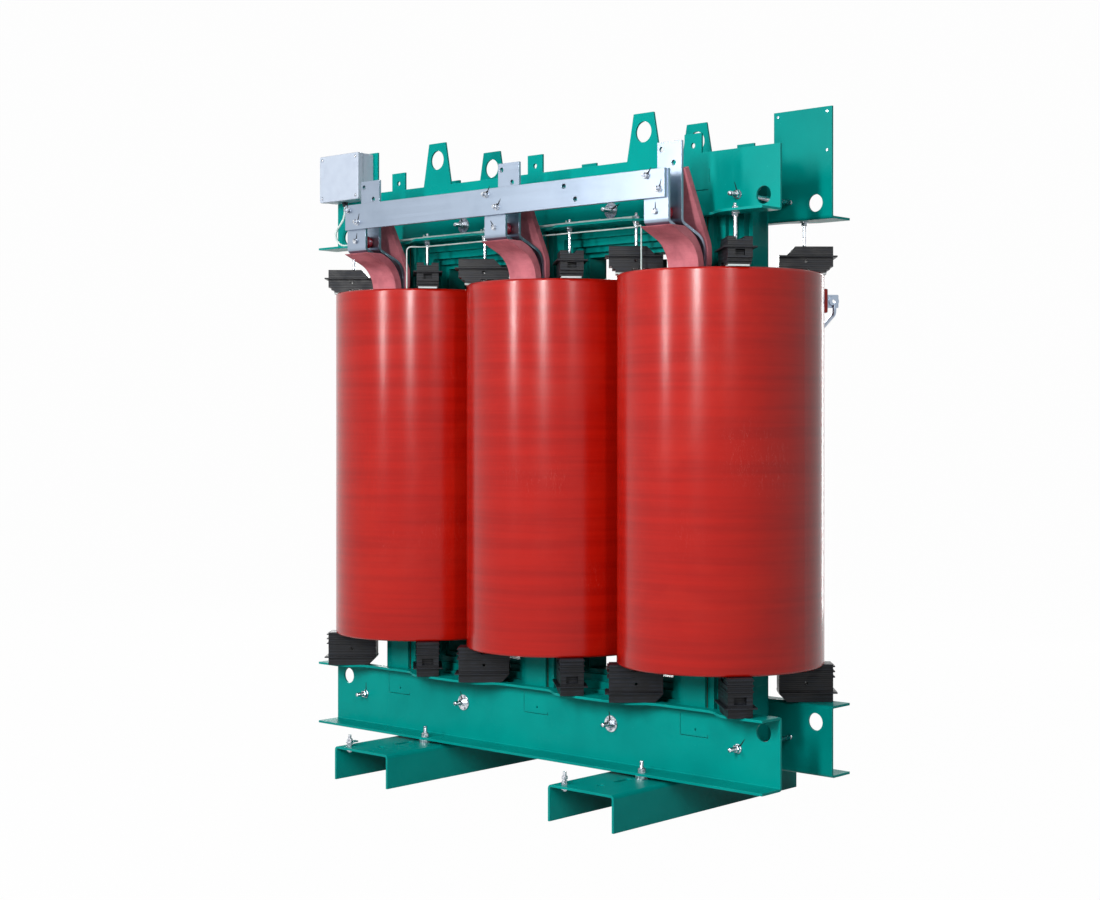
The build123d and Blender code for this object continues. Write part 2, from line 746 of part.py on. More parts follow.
def ribbon(points, x, width, thickness, bends, holes=()):
    """Flat bar whose front face follows points of Y and Z, drilled along Y."""
    with BuildPart() as strip:
        with BuildSketch(Plane.YZ.offset(x - width / 2)):
            with BuildLine():
                FilletPolyline(*points, radius=bends)
                offset(amount=thickness, side=Side.LEFT)
            make_face()
        extrude(amount=width)
        for hole_x, hole_z, size in holes:
            with BuildSketch(Plane.XZ.offset(-front_bar_y - 150)):
                with Locations((hole_x, hole_z)):
                    Circle(size / 2)
            extrude(amount=300, mode=Mode.SUBTRACT)
    return strip.part


def shifted(points, distance):
    """The same run of points moved sideways by a distance, square to each stretch."""
    moved = []
    for i, (y, z) in enumerate(points):
        before = points[max(i - 1, 0)]
        after = points[min(i + 1, len(points) - 1)]
        a = atan2(z - before[1], y - before[0]) if i else atan2(after[1] - z, after[0] - y)
        b = atan2(after[1] - z, after[0] - y) if i < len(points) - 1 else a
        middle = (a + b) / 2
        reach = distance / cos((b - a) / 2)
        moved.append((y + reach * sin(middle), z - reach * cos(middle)))
    return moved


def bar_on_path(points, bends, x, width, thickness, holes=()):
    """Flat bar centred on its path."""
    return ribbon(shifted(points, thickness / 2), x, width, thickness, bends, holes)


def hole_pair(x, z, size):
    """Two holes set diagonally about a middle: upper left and lower right."""
    return [(x - terminal_hole_dx / 2, z + terminal_hole_dz / 2, size),
            (x + terminal_hole_dx / 2, z - terminal_hole_dz / 2, size)]


neutral_middle = neutral_bottom + neutral_height / 2
phase_holes_z = phase_bar_top - 45.5
joint_shift = 1.0
standoff_shift = -3.0
neutral_free_x = 422.0
m10 = 10.0
phase_back = phase_bar_y + bar_plate / 2
front_back = front_bar_y + bar_plate / 2
front_face = front_bar_y - bar_plate / 2
neutral_face = front_face - neutral_plate
rear_sleeve_top = phase_bar_top - 90.0
joint_holes = {limb: hole_pair(limb + bar_offset - joint_shift, neutral_middle + 3, m12)
               for limb in limbs}


def star_sleeve(x):
    """Insulating jacket round the sloping run of a star-side bar."""
    with BuildPart() as sleeve:
        add(bar_on_path(front_path, front_bends, x, sleeve_width, sleeve_plate))
        add(bar_on_path(front_path, front_bends, x, bar_width, bar_plate), mode=Mode.SUBTRACT)
        split(bisect_by=Plane.XY.offset(sleeve_top - 11), keep=Keep.BOTTOM)
    return sleeve.part


def phase_sleeve(x):
    """Insulating board that leans from the coil against the back of a phase bar."""
    foot = phase_foot_y + bar_plate / 2
    face = [(phase_back, rear_sleeve_top), (foot, coil_top + board_knee), (foot, coil_top)]
    with BuildPart() as sleeve:
        add(ribbon(face, x, rear_sleeve_width, rear_sleeve_plate, board_sweep))
        corners = sleeve.edges().filter_by(Axis.Y).sort_by(Axis.Z)[-2:]
        fillet(corners, 22)
    return sleeve.part


def standoff():
    """Barrel-shaped stand-off insulator standing on the XY plane."""
    length = phase_bar_y - front_bar_y - bar_plate
    with BuildPart() as barrel:
        with BuildSketch(Plane.XZ):
            with BuildLine():
                Polyline((m10 / 2, 0), (standoff_radius - 7, 0), (standoff_radius - 4, 4))
                ThreePointArc((standoff_radius - 4, 4), (standoff_radius, length / 2),
                              (standoff_radius - 4, length - 4))
                Polyline((standoff_radius - 4, length - 4), (standoff_radius - 7, length),
                         (m10 / 2, length), (m10 / 2, length - 18), (0, length - 18),
                         (0, 18), (m10 / 2, 18), (m10 / 2, 0))
            make_face()
        revolve(axis=Axis.Z)
    return barrel.part


barrels, barrel_screws, barrel_washers = [], [], []
joint_bolts, joint_nuts, joint_washers = [], [], []
screw_m10 = hex_bolt(m10, 17, 7, bar_plate + 2 + 18)
washer_m10 = washer(m10, 21, 2)
joint_bolt = hex_bolt(m12, 18, 8, bar_plate + neutral_plate + 2.5 + 10 + 7)
star_bars, phase_bars, star_sleeves, phase_sleeves = [], [], [], []
for limb in limbs:
    x = limb + bar_offset
    screw_x = x + standoff_shift
    joint = joint_holes[limb]
    screw = (screw_x, standoff_z, m10)
    star_bars.append(bar_on_path(front_path, front_bends, x, bar_width, bar_plate,
                                 joint + [screw]))
    phase_bars.append(bar_on_path(phase_path, phase_bends, x, bar_width, bar_plate,
                                  hole_pair(x - 8, phase_holes_z, terminal_hole) + [screw]))
    star_sleeves.append(star_sleeve(x))
    phase_sleeves.append(phase_sleeve(x))
    barrels.append(rear_facing(screw_x, front_back, standoff_z) * standoff())
    barrel_washers.append(front_facing(screw_x, front_face, standoff_z) * washer_m10)
    barrel_screws.append(front_facing(screw_x, front_face - 2, standoff_z) * screw_m10)
    barrel_washers.append(rear_facing(screw_x, phase_back, standoff_z) * washer_m10)
    barrel_screws.append(rear_facing(screw_x, phase_back + 2, standoff_z) * screw_m10)
    for hole_x, hole_z, size in joint:
        joint_bolts.append(rear_facing(hole_x, front_back, hole_z) * joint_bolt)
        joint_washers.append(front_facing(hole_x, neutral_face, hole_z) * washer_m12)
        joint_nuts.append(front_facing(hole_x, neutral_face - 2.5, hole_z) * nut_m12)
save_group(star_bars, "star_bars")
save_group(phase_bars, "phase_bars")
save_group(star_sleeves, "star_sleeves")
save_group(phase_sleeves, "phase_sleeves")
save_group(barrels, "standoff_insulators")
save_group(barrel_screws, "standoff_screws")
save_group(barrel_washers, "standoff_washers")
save_group(joint_bolts, "neutral_bolts")
save_group(joint_nuts, "neutral_nuts")
save_group(joint_washers, "neutral_washers")

with BuildPart() as neutral_bar:
    with BuildSketch(Plane.XZ.offset(-front_face)):
        with Locations(((neutral_left + neutral_right) / 2, neutral_middle)):
            Rectangle(neutral_right - neutral_left, neutral_height)
        for limb in limbs:
            for hole_x, hole_z, size in joint_holes[limb]:
                with Locations((hole_x, hole_z)):
                    Circle(size / 2, mode=Mode.SUBTRACT)
        for hole_x, hole_z, size in hole_pair(neutral_free_x, neutral_middle, terminal_hole):
            with Locations((hole_x, hole_z)):
                Circle(size / 2, mode=Mode.SUBTRACT)
    extrude(amount=neutral_plate)
    chamfer(neutral_bar.edges().filter_by(Axis.X), 1.0)
save(neutral_bar.part, "neutral_bar")


# ---------------------------------------------------------------- temperature-sensor box
box_width = 225.0
box_height = 176.0
box_from_end = 96.5            # middle of the box, from the end of the beam
box_rise = 63.0                # and above the top of the beam's web
box_base_depth = 52.0
box_lid_depth = 25.0
box_wall = 3.0
gland_shift = -21.5
gland_y = -172.0
gland_bore = 12.0
box_x = -beam_length / 2 + box_from_end
box_z = upper_beam_top + box_rise
gland_x = box_x + gland_shift
box_bottom = box_z - box_height / 2
box_front = -web_outer - box_base_depth
with BuildPart() as box_base:
    with BuildSketch(Plane.XZ.offset(web_outer)):
        with Locations((box_x, box_z)):
            RectangleRounded(box_width, box_height, 6)
    extrude(amount=box_base_depth)
    with BuildSketch(Plane.XZ.offset(-box_front)):
        with Locations((box_x, box_z)):
            RectangleRounded(box_width - 2 * box_wall, box_height - 2 * box_wall, 4)
    extrude(amount=-box_base_depth + box_wall, mode=Mode.SUBTRACT)
    with BuildSketch(Plane.XY.offset(box_bottom)):
        with Locations((gland_x, gland_y)):
            Circle(8)
    extrude(amount=box_wall, mode=Mode.SUBTRACT)
save(box_base.part, "terminal_box_base")

lid_screw_dx = box_width / 2 - 14
lid_screw_dz = box_height / 2 - 14
with BuildPart() as box_lid:
    with BuildSketch(Plane.XZ.offset(-box_front)):
        with Locations((box_x, box_z)):
            RectangleRounded(box_width + 3, box_height + 3, 7)
    extrude(amount=box_lid_depth)
    fillet(box_lid.faces().sort_by(Axis.Y)[0].edges(), 4)
    with BuildSketch(Plane.XZ.offset(-box_front)):
        with Locations((box_x, box_z)):
            RectangleRounded(box_width - 2 * box_wall, box_height - 2 * box_wall, 4)
    extrude(amount=box_lid_depth - box_wall, mode=Mode.SUBTRACT)
    with BuildSketch(Plane.XZ.offset(-box_front + box_lid_depth)):
        with Locations((box_x, box_z)):
            with GridLocations(2 * lid_screw_dx, 2 * lid_screw_dz, 2, 2):
                Circle(6)
    extrude(amount=-2, mode=Mode.SUBTRACT)
save(box_lid.part, "terminal_box_lid")


def cross_head():
    """Low round screw head with a crossed recess, standing on the XY plane."""
    with BuildPart() as head:
        with BuildSketch():
            Circle(5)
        extrude(amount=2.5)
        fillet(head.edges().sort_by(Axis.Z)[-1], 1)
        with BuildSketch(Plane.XY.offset(2.5)):
            Rectangle(5.5, 1.2)
            Rectangle(1.2, 5.5)
        extrude(amount=-1, mode=Mode.SUBTRACT)
    return head.part


screw_head = cross_head()
lid_front = box_front - box_lid_depth
save_group([front_facing(box_x + side * lid_screw_dx, lid_front + 2, box_z + up * lid_screw_dz)
            * screw_head for side in (-1, 1) for up in (-1, 1)], "terminal_box_screws")
plate_places = [(end_plate_inner_x + 18, upper_beam_top + 12),
                (beam_end - 18, upper_beam_top + 12),
                (end_plate_inner_x + 18, upper_beam_top + end_plate_height - 16),
                (beam_end - 18, upper_beam_top + end_plate_height - 16)]
save_group([front_facing(px, web_inner, pz) * screw_head for px, pz in plate_places],
           "end_plate_screws")

with BuildPart() as gland:
    with BuildSketch(Plane.XY.offset(box_bottom)):
        with Locations((gland_x, gland_y)):
            RegularPolygon(11, 6)
    extrude(amount=-10)
    with BuildSketch(Plane.XY.offset(box_bottom - 10)):
        with Locations((gland_x, gland_y)):
            Circle(9)
    extrude(amount=-8, taper=8)
    with BuildSketch(Plane.XY.offset(box_bottom + box_wall)):
        with Locations((gland_x, gland_y)):
            Circle(8)
    extrude(amount=-box_wall)
    with BuildSketch(Plane.XY.offset(box_bottom + box_wall)):
        with Locations((gland_x, gland_y)):
            Circle(gland_bore / 2)
    extrude(amount=-box_wall - 18, mode=Mode.SUBTRACT)
save(gland.part, "cable_gland")


# ---------------------------------------------------------------- sensor cable
cable_size = 8.0
lead_size = 5.0
flange_top = upper_beam_bottom + beam_plate
cable_z = flange_top + cable_size / 2 + 2.0
lead_z = upper_beam_bottom - 18.0
tie_y = -stud_dy - m12 - cable_size / 2 - 2
lead_y = -stud_dy - m12 / 2 - lead_size / 2 - 0.3
cable_sag = 1.5               # where it crosses the narrow part of the flange
cable_places = [(limb + side * stud_dx, tie_y, cable_z) for limb in limbs for side in (-1, 1)]
cable_run = []
for limb in limbs[:2]:
    cable_run += [(limb - stud_dx, tie_y, cable_z), (limb, tie_y, cable_z - cable_sag),
                  (limb + stud_dx, tie_y, cable_z), (limb + coil_pitch / 2, tie_y, cable_z)]
cable_run.append((coil_pitch - stud_dx, tie_y, cable_z))
with BuildPart() as sensor_cable:
    with BuildLine() as cable_line:
        start = (gland_x, gland_y, box_bottom + 10)
        Spline(start, (gland_x, gland_y, box_bottom - 20),
               (gland_x, gland_y - 10, box_bottom - 70),
               (gland_x + 2, tie_y - 14, cable_z + 36),
               (gland_x + 24, tie_y - 8, cable_z + 4), *cable_run,
               tangents=((0, 0, -1), (1, 0, 0)))
    with BuildSketch(Plane(origin=start, z_dir=(0, 0, -1))):
        Circle(cable_size / 2)
    sweep()
save(sensor_cable.part, "sensor_cable")

gap_radius = (hv_inner_radius + lv_outer_radius) / 2
dive_angle = 58.0
lead_end_x = coil_pitch - gap_radius * cos(radians(dive_angle))
lead_end_y = -gap_radius * sin(radians(dive_angle))
lead_turn_x = lead_end_x - 54.0
with BuildPart() as sensor_lead:
    with BuildLine() as lead_line:
        start = (-lead_end_x, lead_end_y, coil_top - 40)
        FilletPolyline(start, (-lead_end_x, lead_end_y, lead_z), (-lead_turn_x, lead_y, lead_z),
                       (lead_turn_x, lead_y, lead_z), (lead_end_x, lead_end_y, lead_z),
                       (lead_end_x, lead_end_y, coil_top - 40), radius=16)
    with BuildSketch(Plane(origin=start, z_dir=(0, 0, 1))):
        Circle(lead_size / 2)
    sweep()
save(sensor_lead.part, "sensor_lead")


tie_slack = 0.6               # room inside a tie, so that it lies on the cable without biting


def cable_tie(x, y, z, size):
    """Band round a cable with its square lock on top."""
    with BuildPart() as tie:
        with BuildSketch(Plane.YZ.offset(x - 2)):
            with Locations((y, z)):
                Circle(size / 2 + tie_slack + 1.2)
            with Locations((y, z + size / 2 + tie_slack + 3)):
                Rectangle(4, 6)
            with Locations((y, z)):
                Circle(size / 2 + tie_slack, mode=Mode.SUBTRACT)
        extrude(amount=4)
    return tie.part


save_group([cable_tie(px, py, pz, cable_size) for px, py, pz in cable_places[1:-2]],
           "cable_ties")


# ---------------------------------------------------------------- high-voltage terminals
tab_length = 46.0
tab_height = 44.0
tab_plate = 6.0
tab_hole = 13.0
boss_face = hv_outer_radius + 18.0


def terminal_tab(x, angle, z):
    """Flat terminal standing out of its resin boss, hole across it."""
    with BuildPart() as tab:
        with BuildSketch(Plane.XZ.offset(-tab_plate / 2)):
            with Locations((boss_face + tab_length / 2, 0)):
                RectangleRounded(tab_length, tab_height, 3)
            with Locations((boss_face + tab_length - 17, 0)):
                Circle(tab_hole / 2, mode=Mode.SUBTRACT)
        extrude(amount=tab_plate)
    return Pos(x, 0, z) * Rot(0, 0, angle) * tab.part


save_group([terminal_tab(x, terminal_angle, hv_terminal_top_z) for x in limbs]
           + [terminal_tab(x, 180 - terminal_angle, hv_terminal_bottom_z) for x in limbs],
           "hv_terminals")


def face_normal(angle):
    """Direction out of the face of a terminal that its link is bolted to."""
    side = 1 if angle < 90 else -1
    return Vector(side * sin(radians(angle)), -side * cos(radians(angle)), 0)


def eye_place(x, angle, z):
    """Middle of a terminal's hole, on the face that its link is bolted to."""
    radius = boss_face + tab_length - 17
    middle = Vector(x + radius * cos(radians(angle)), radius * sin(radians(angle)), z)
    return middle + face_normal(angle) * (tab_plate / 2)


link_size = 14.0
eye_plate = 6.0


def link_eye(place, angle):
    """Round eye of a link lying on the face of a terminal."""
    with BuildPart() as eye:
        with BuildSketch(Plane(origin=place, x_dir=(0, 0, 1), z_dir=face_normal(angle))):
            Circle(17)
            Circle(tab_hole / 2, mode=Mode.SUBTRACT)
        extrude(amount=eye_plate)
    return eye.part


def delta_link(from_x, to_x, out_y, inset=0.0):
    """Round bar from the upper terminal of one coil to the lower one of another."""
    top = eye_place(from_x, terminal_angle, hv_terminal_top_z)
    low = eye_place(to_x, 180 - terminal_angle, hv_terminal_bottom_z)
    clear = link_size / 2 + 0.5
    start = top + face_normal(terminal_angle) * clear + Vector(0, 0, -13)
    finish = low + face_normal(180 - terminal_angle) * clear + Vector(0, 0, 13)
    points = [start, start + Vector(0, 0, -30),
              Vector(start.X - inset, out_y, start.Z - 70),
              Vector(finish.X + inset, out_y, finish.Z + 70),
              finish + Vector(0, 0, 30), finish]
    with BuildPart() as bar:
        with BuildLine():
            FilletPolyline(*points, radius=18)
        with BuildSketch(Plane(origin=start, z_dir=(0, 0, -1))):
            Circle(link_size / 2)
        sweep()
        add(link_eye(top, terminal_angle))
        add(link_eye(low, 180 - terminal_angle))
    return bar.part


short_link_y = hv_outer_radius + 5
long_link_y = hv_outer_radius + 95     # the long link runs behind the tapping panels
save_group([delta_link(limbs[0], limbs[1], short_link_y),
            delta_link(limbs[1], limbs[2], short_link_y),
            delta_link(limbs[2], limbs[0], long_link_y, inset=150.0)], "delta_links")

# Tapping terminals at the rear of each coil, with one bridge in place
tap_face = hv_outer_radius + 18.0
tap_pitch_z = 56.0
tap_dx = 55.0
tap_nuts, tap_bridges = [], []
for x in limbs:
    middle = (coil_top + coil_bottom) / 2
    for side in (-1, 1):
        for step in (-2, -1, 0, 1, 2):
            tap_nuts.append(rear_facing(x + side * tap_dx, tap_face, middle + step * tap_pitch_z)
                            * hex_nut(8, 20, 9))
    with BuildPart() as bridge:
        with BuildSketch(Plane.XZ.offset(-tap_face - 9)):
            with Locations((x, middle)):
                SlotOverall(2 * tap_dx + 30, 26)
        extrude(amount=-4)
    tap_bridges.append(bridge.part)
save_group(tap_nuts, "tap_terminals")
save_group(tap_bridges, "tap_bridges")
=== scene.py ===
"""Looks of a dry-type transformer with cast-resin coils.

Laid out as an add-on: settings, one operator for each group of pieces, a panel, and a
main function that runs the operators in order on the fixed frame.
Metres. +Z is up, X runs along the coils, -Y is the low-voltage side.
"""

from math import cos, radians, sin

import bmesh
import bpy
import numpy as np
from mathutils import Matrix, Vector


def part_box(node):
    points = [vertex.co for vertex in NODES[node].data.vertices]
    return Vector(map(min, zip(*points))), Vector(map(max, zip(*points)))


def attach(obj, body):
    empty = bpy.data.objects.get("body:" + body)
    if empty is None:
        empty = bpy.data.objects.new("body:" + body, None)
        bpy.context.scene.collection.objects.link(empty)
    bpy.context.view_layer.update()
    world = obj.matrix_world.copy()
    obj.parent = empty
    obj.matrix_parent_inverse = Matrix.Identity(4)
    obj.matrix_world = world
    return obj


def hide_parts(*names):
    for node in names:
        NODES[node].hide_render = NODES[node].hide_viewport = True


bl_info = {
    "name": "Dry-Type Transformer Looks",
    "version": (1, 0, 0),
    "blender": (4, 5, 0),
    "location": "3D View > Sidebar > Transformer",
    "description": "Finishes, threads, torque marks and studio for a cast-resin transformer",
    "category": "Object",
}

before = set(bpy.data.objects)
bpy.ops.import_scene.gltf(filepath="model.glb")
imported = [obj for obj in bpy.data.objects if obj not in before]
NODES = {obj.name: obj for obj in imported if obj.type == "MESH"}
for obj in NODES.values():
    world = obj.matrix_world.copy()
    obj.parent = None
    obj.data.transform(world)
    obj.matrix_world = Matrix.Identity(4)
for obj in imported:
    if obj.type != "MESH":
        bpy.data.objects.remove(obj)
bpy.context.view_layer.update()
MM = 0.001
WAVE_TO_PITCH = 0.314         # a wave texture of scale 0.314 / p repeats every p
COIL_SPACING = 0.72           # between the axes of neighbouring coils
# Near black, painted as shade in the grooves between moulded ribs.
PAINTED_GROOVE_SHADE = (0, 0, 0.001, 1)
ROOM_TINT = (0.74, 0.85, 1.0, 1)
THREAD_DEPTH = 0.61           # of the pitch, as in a metric thread
LAMP_AIM = 1.1                # height that every lamp points at
SWEEP_BEND = 4.0              # radius of the curve from floor to wall
SWEEP_REACH = 26.0            # floor in front of the object, and height of the wall
SWEEP_HALF_WIDTH = 34.0


def linear(code):
    """Turn an sRGB hex value into linear red, green and blue."""
    srgb = np.array([int(code[i:i + 2], 16) for i in (1, 3, 5)]) / 255
    low = srgb / 12.92
    high = ((srgb + 0.055) / 1.055) ** 2.4
    return tuple(float(v) for v in np.where(srgb <= 0.04045, low, high))


def colour(name, text, code):
    """A colour setting whose default is an sRGB hex value."""
    return bpy.props.FloatVectorProperty(
        name=name, description=text, subtype="COLOR", size=3, min=0, max=1,
        default=linear(code))


def length(name, text, default):
    """A length setting in metres."""
    return bpy.props.FloatProperty(
        name=name, description=text, default=default, min=0, unit="LENGTH", subtype="DISTANCE")


def amount(name, text, default):
    """A share between nothing and one."""
    return bpy.props.FloatProperty(
        name=name, description=text, default=default, min=0, max=1, subtype="FACTOR")


# ---------------------------------------------------------------- settings
class CoilSettings(bpy.types.PropertyGroup):
    """Sizes and colours of the coils' surface."""
    resin: colour("Resin", "Pigmented casting resin", "#A50F03")
    resin_dark: colour("Resin shade", "Resin where the winding shows through", "#8C0702")
    resin_pale: colour("Resin haze", "Rubbed, hazy places on the resin", "#B52414")
    resin_scuff: colour("Resin scratch", "Fine pale scratches", "#D98A80")
    foil: colour("Foil", "Edges of the aluminium foil", "#9A6A58")
    foil_resin: colour("Foil resin", "Baked resin between the turns", "#6E2A20")
    layer_pitch: length("Winding pitch", "Height of one turn that shows in the resin", 11 * MM)
    foil_turn: length("Foil turn", "Spacing of the foil turns as drawn", 4 * MM)
    gloss: amount("Resin gloss", "Strength of the resin's reflections", 0.26)


class PaintSettings(bpy.types.PropertyGroup):
    """Colours of the painted steel."""
    green: colour("Green", "Sprayed enamel of beams, feet and core", "#009189")
    green_dark: colour("Green shade", "Thin or dusty places in the enamel", "#00837D")
    # Pale green of dust nibs, and on the arrises partly worn enamel, partly a painted
    # highlight.
    green_pale_and_edge_highlight: colour("Green edge", "Pale enamel of dust nibs and worn edges, and painted highlight along arrises", "#2FA9A2")
    # Painted shade: the dark green put in the valleys between the core sheets.
    green_shadow: colour("Green valley", "Painted shade between the core sheets", "#00484A")
    orange_peel: length("Orange peel", "Width of one ripple in the sprayed coat", 4 * MM)
    sheet_bundle: length("Core sheets", "Spacing of the core sheets as drawn", 5 * MM)
    gloss: amount("Enamel gloss", "Strength of the enamel's reflections", 0.05)


class MetalSettings(bpy.types.PropertyGroup):
    """Colours of bare and plated metal."""
    aluminium: colour("Aluminium", "Drawn bar", "#9AA7B8")
    aluminium_haze: colour("Aluminium haze", "Handled, oxidised places", "#8492A3")
    zinc: colour("Zinc", "Bright zinc plating", "#E2E6EC")
    zinc_shade: colour("Zinc shade", "Passivated shade in the plating", "#66707F")
    brass: colour("Brass", "Tinned brass of the tapping terminals", "#D8C48E")
    brass_shade: colour("Brass shade", "Where the tin has worn", "#9C7C48")
    grain_pitch: length("Drawing lines", "Spacing of the drawing lines as drawn", 1.2 * MM)


class InsulationSettings(bpy.types.PropertyGroup):
    """Colours of insulation, mouldings, box and cable."""
    sleeve: colour("Sleeve", "Resin-soaked glass tape on the outlets", "#C0707A")
    sleeve_dark: colour("Sleeve shade", "Where resin has pooled", "#8A4650")
    sleeve_pale: colour("Sleeve weave", "Glass threads near the surface", "#D9979B")
    moulding: colour("Moulding", "Charcoal moulding compound of the supports", "#090B10")
    moulding_pale: colour("Moulding haze", "Glass fibre near the surface", "#171C25")
    barrel: colour("Insulator", "Red stand-off insulators", "#AE001A")
    barrel_shade: colour("Insulator shade", "Deeper red in the moulding", "#86000F")
    pad: colour("Pad", "Elastic pad", "#C4CACB")
    board: colour("Board", "Pressboard", "#6A5A44")
    board_shade: colour("Board shade", "Varnish soaked into the board", "#4C3E2E")
    box: colour("Box", "Sensor box", "#B9C3D1")
    box_shade: colour("Box shade", "Cloudy places in the moulding", "#B2BCCB")
    cable: colour("Cable", "Cable sheath", "#D5E2DE")
    cable_shade: colour("Cable shade", "Dust on the sheath", "#B4C4C2")
    ink: colour("Ink", "Torque-marking ink", "#0A0A0C")
    rib_pitch: length("Support ribs", "Height of one rib round a support", 13 * MM)
    thread: length("Glass thread", "Spacing of the glass threads as drawn", 2.6 * MM)


class StudioSettings(bpy.types.PropertyGroup):
    """Camera and light."""
    eye: bpy.props.FloatVectorProperty(
        name="Camera place", description="Where the camera stands", size=3,
        default=(4.4708, -4.7377, 1.2912), subtype="TRANSLATION", unit="LENGTH")
    turn: bpy.props.FloatProperty(
        name="Camera turn", description="Camera heading about the vertical",
        default=radians(40.596), subtype="ANGLE", unit="ROTATION")
    lens: bpy.props.FloatProperty(
        name="Focal length", description="Focal length for a sensor 36 mm wide",
        default=59.278, unit="CAMERA")
    shift_x: bpy.props.FloatProperty(
        name="Shift X", description="Sideways shift of the frame", default=-0.0909)
    shift_y: bpy.props.FloatProperty(
        name="Shift Y", description="Upward shift of the frame", default=-0.0242)
    wall: length("Wall distance", "From the object to the backdrop", 13.0)
    room: amount("Room light", "Strength of the even light of the room", 0.10)
    paper: amount("Paper white", "Share of the paper that shows as plain white", 0.985)


# ---------------------------------------------------------------- materials
def add_node(tree, kind, inputs, output=0, **settings):
    """Add a shader node, set or link each of its inputs, and give back one output."""
    node = tree.nodes.new(kind)
    for key, value in settings.items():
        setattr(node, key, value)
    for key, value in inputs.items():
        if isinstance(value, bpy.types.NodeSocket):
            tree.links.new(value, node.inputs[key])
        else:
            node.inputs[key].default_value = value
    return node.outputs[output]


def start_material(name):
    """A new node material: its tree, its shader and the object coordinates."""
    material = bpy.data.materials.new(name)
    material.use_nodes = True
    tree = material.node_tree
    place = add_node(tree, "ShaderNodeTexCoord", {}, "Object")
    return material, tree, tree.nodes["Principled BSDF"], place


def finish_surface(tree, shader, tone, rough, height, relief, edge):
    """Link colour and roughness, and bump a height pattern over slightly rounded edges.

    The relief is the depth of the pattern and the edge the radius of the arrises, in metres.
    """
    tree.links.new(tone, shader.inputs["Base Color"])
    tree.links.new(rough, shader.inputs["Roughness"])
    rounded = add_node(tree, "ShaderNodeBevel", {"Radius": edge}, samples=4)
    bump = add_node(tree, "ShaderNodeBump", {"Height": height, "Distance": relief,
                                             "Strength": 1.0, "Normal": rounded})
    tree.links.new(bump, shader.inputs["Normal"])


def unlit_share(tree):
    """One for rays from the camera, through glass or off a gloss, which see plain white."""
    seen = add_node(tree, "ShaderNodeLightPath", {}, "Is Camera Ray")
    for ray in ("Is Glossy Ray", "Is Transmission Ray"):
        other = add_node(tree, "ShaderNodeLightPath", {}, ray)
        seen = add_node(tree, "ShaderNodeMath", {0: seen, 1: other}, operation="MAXIMUM")
    return seen


def dress(material, *names):
    """Give the material to the named frame nodes."""
    for name in names:
        mesh = NODES[name].data
        mesh.materials.clear()
        mesh.materials.append(material)


def sprayed_enamel(name, settings, sheets):
    """Two-pack enamel sprayed on steel: an even gloss with fine ripples, pale on arrises,
    where the pale colour is partly enamel worn thin and partly a painted highlight.

    On the core the same coat lies over the edges of a stack of thin sheets, which show as
    fine ribs with painted shade darkening the valleys between them.
    """
    material, tree, shader, place = start_material(name)
    cloud = add_node(tree, "ShaderNodeTexNoise", {"Vector": place, "Scale": 4.0, "Detail": 4.0})
    share = add_node(tree, "ShaderNodeMapRange", {0: cloud, 1: 0.35, 2: 0.70})
    tone = add_node(tree, "ShaderNodeMix", {0: share, 6: (*settings.green, 1),
                                            7: (*settings.green_dark, 1)}, 2,
                    data_type="RGBA")
    # Dust nibs are some 2 mm across and a few centimetres apart.
    dust = add_node(tree, "ShaderNodeTexVoronoi", {"Vector": place, "Scale": 28.0})
    nib = add_node(tree, "ShaderNodeMapRange", {0: dust, 1: 0.045, 2: 0.02})
    tone = add_node(tree, "ShaderNodeMix", {0: nib, 6: tone, 7: (*settings.green_pale_and_edge_highlight, 1)}, 2,
                    data_type="RGBA")
    # Painted highlight along every arris, found from the rounded normal, standing partly also
    # for enamel worn thin.
    rounded = add_node(tree, "ShaderNodeBevel", {"Radius": 2.2 * MM}, samples=4)
    true = add_node(tree, "ShaderNodeNewGeometry", {}, "True Normal")
    facing = add_node(tree, "ShaderNodeVectorMath", {0: rounded, 1: true}, "Value",
                      operation="DOT_PRODUCT")
    arris = add_node(tree, "ShaderNodeMapRange", {0: facing, 1: 0.985, 2: 0.82, 4: 0.75})
    tone = add_node(tree, "ShaderNodeMix", {0: arris, 6: tone, 7: (*settings.green_pale_and_edge_highlight, 1)}, 2,
                    data_type="RGBA")
    height = add_node(tree, "ShaderNodeTexNoise", {"Vector": place, "Detail": 2.0,
                                                   "Scale": 1 / settings.orange_peel})
    if sheets:
        # Sheets are 0.3 mm thick, drawn as bundles 5 mm apart so that they show.
        ribs = add_node(tree, "ShaderNodeTexWave",
                        {"Vector": place, "Scale": WAVE_TO_PITCH / settings.sheet_bundle,
                         "Distortion": 0.9, "Detail": 3.0, "Detail Scale": 0.5}, "Fac",
                        bands_direction="Y")
        # Painted shade: the valleys between the sheet ribs are darkened towards the shadow
        # green.
        valley = add_node(tree, "ShaderNodeMapRange", {0: ribs, 1: 0.35, 2: 0.0, 4: 0.6})
        tone = add_node(tree, "ShaderNodeMix", {0: valley, 6: tone,
                                                7: (*settings.green_shadow, 1)}, 2,
                        data_type="RGBA")
        height = add_node(tree, "ShaderNodeMath", {0: ribs, 1: 3.0, 2: height},
                          operation="MULTIPLY_ADD")
    rough = add_node(tree, "ShaderNodeMapRange", {0: cloud, 1: 0.30, 2: 0.70, 3: 0.22,
                                                  4: 0.34})
    finish_surface(tree, shader, tone, rough, height, 0.10 * MM, 1.2 * MM)
    shader.inputs["Specular IOR Level"].default_value = settings.gloss
    return material


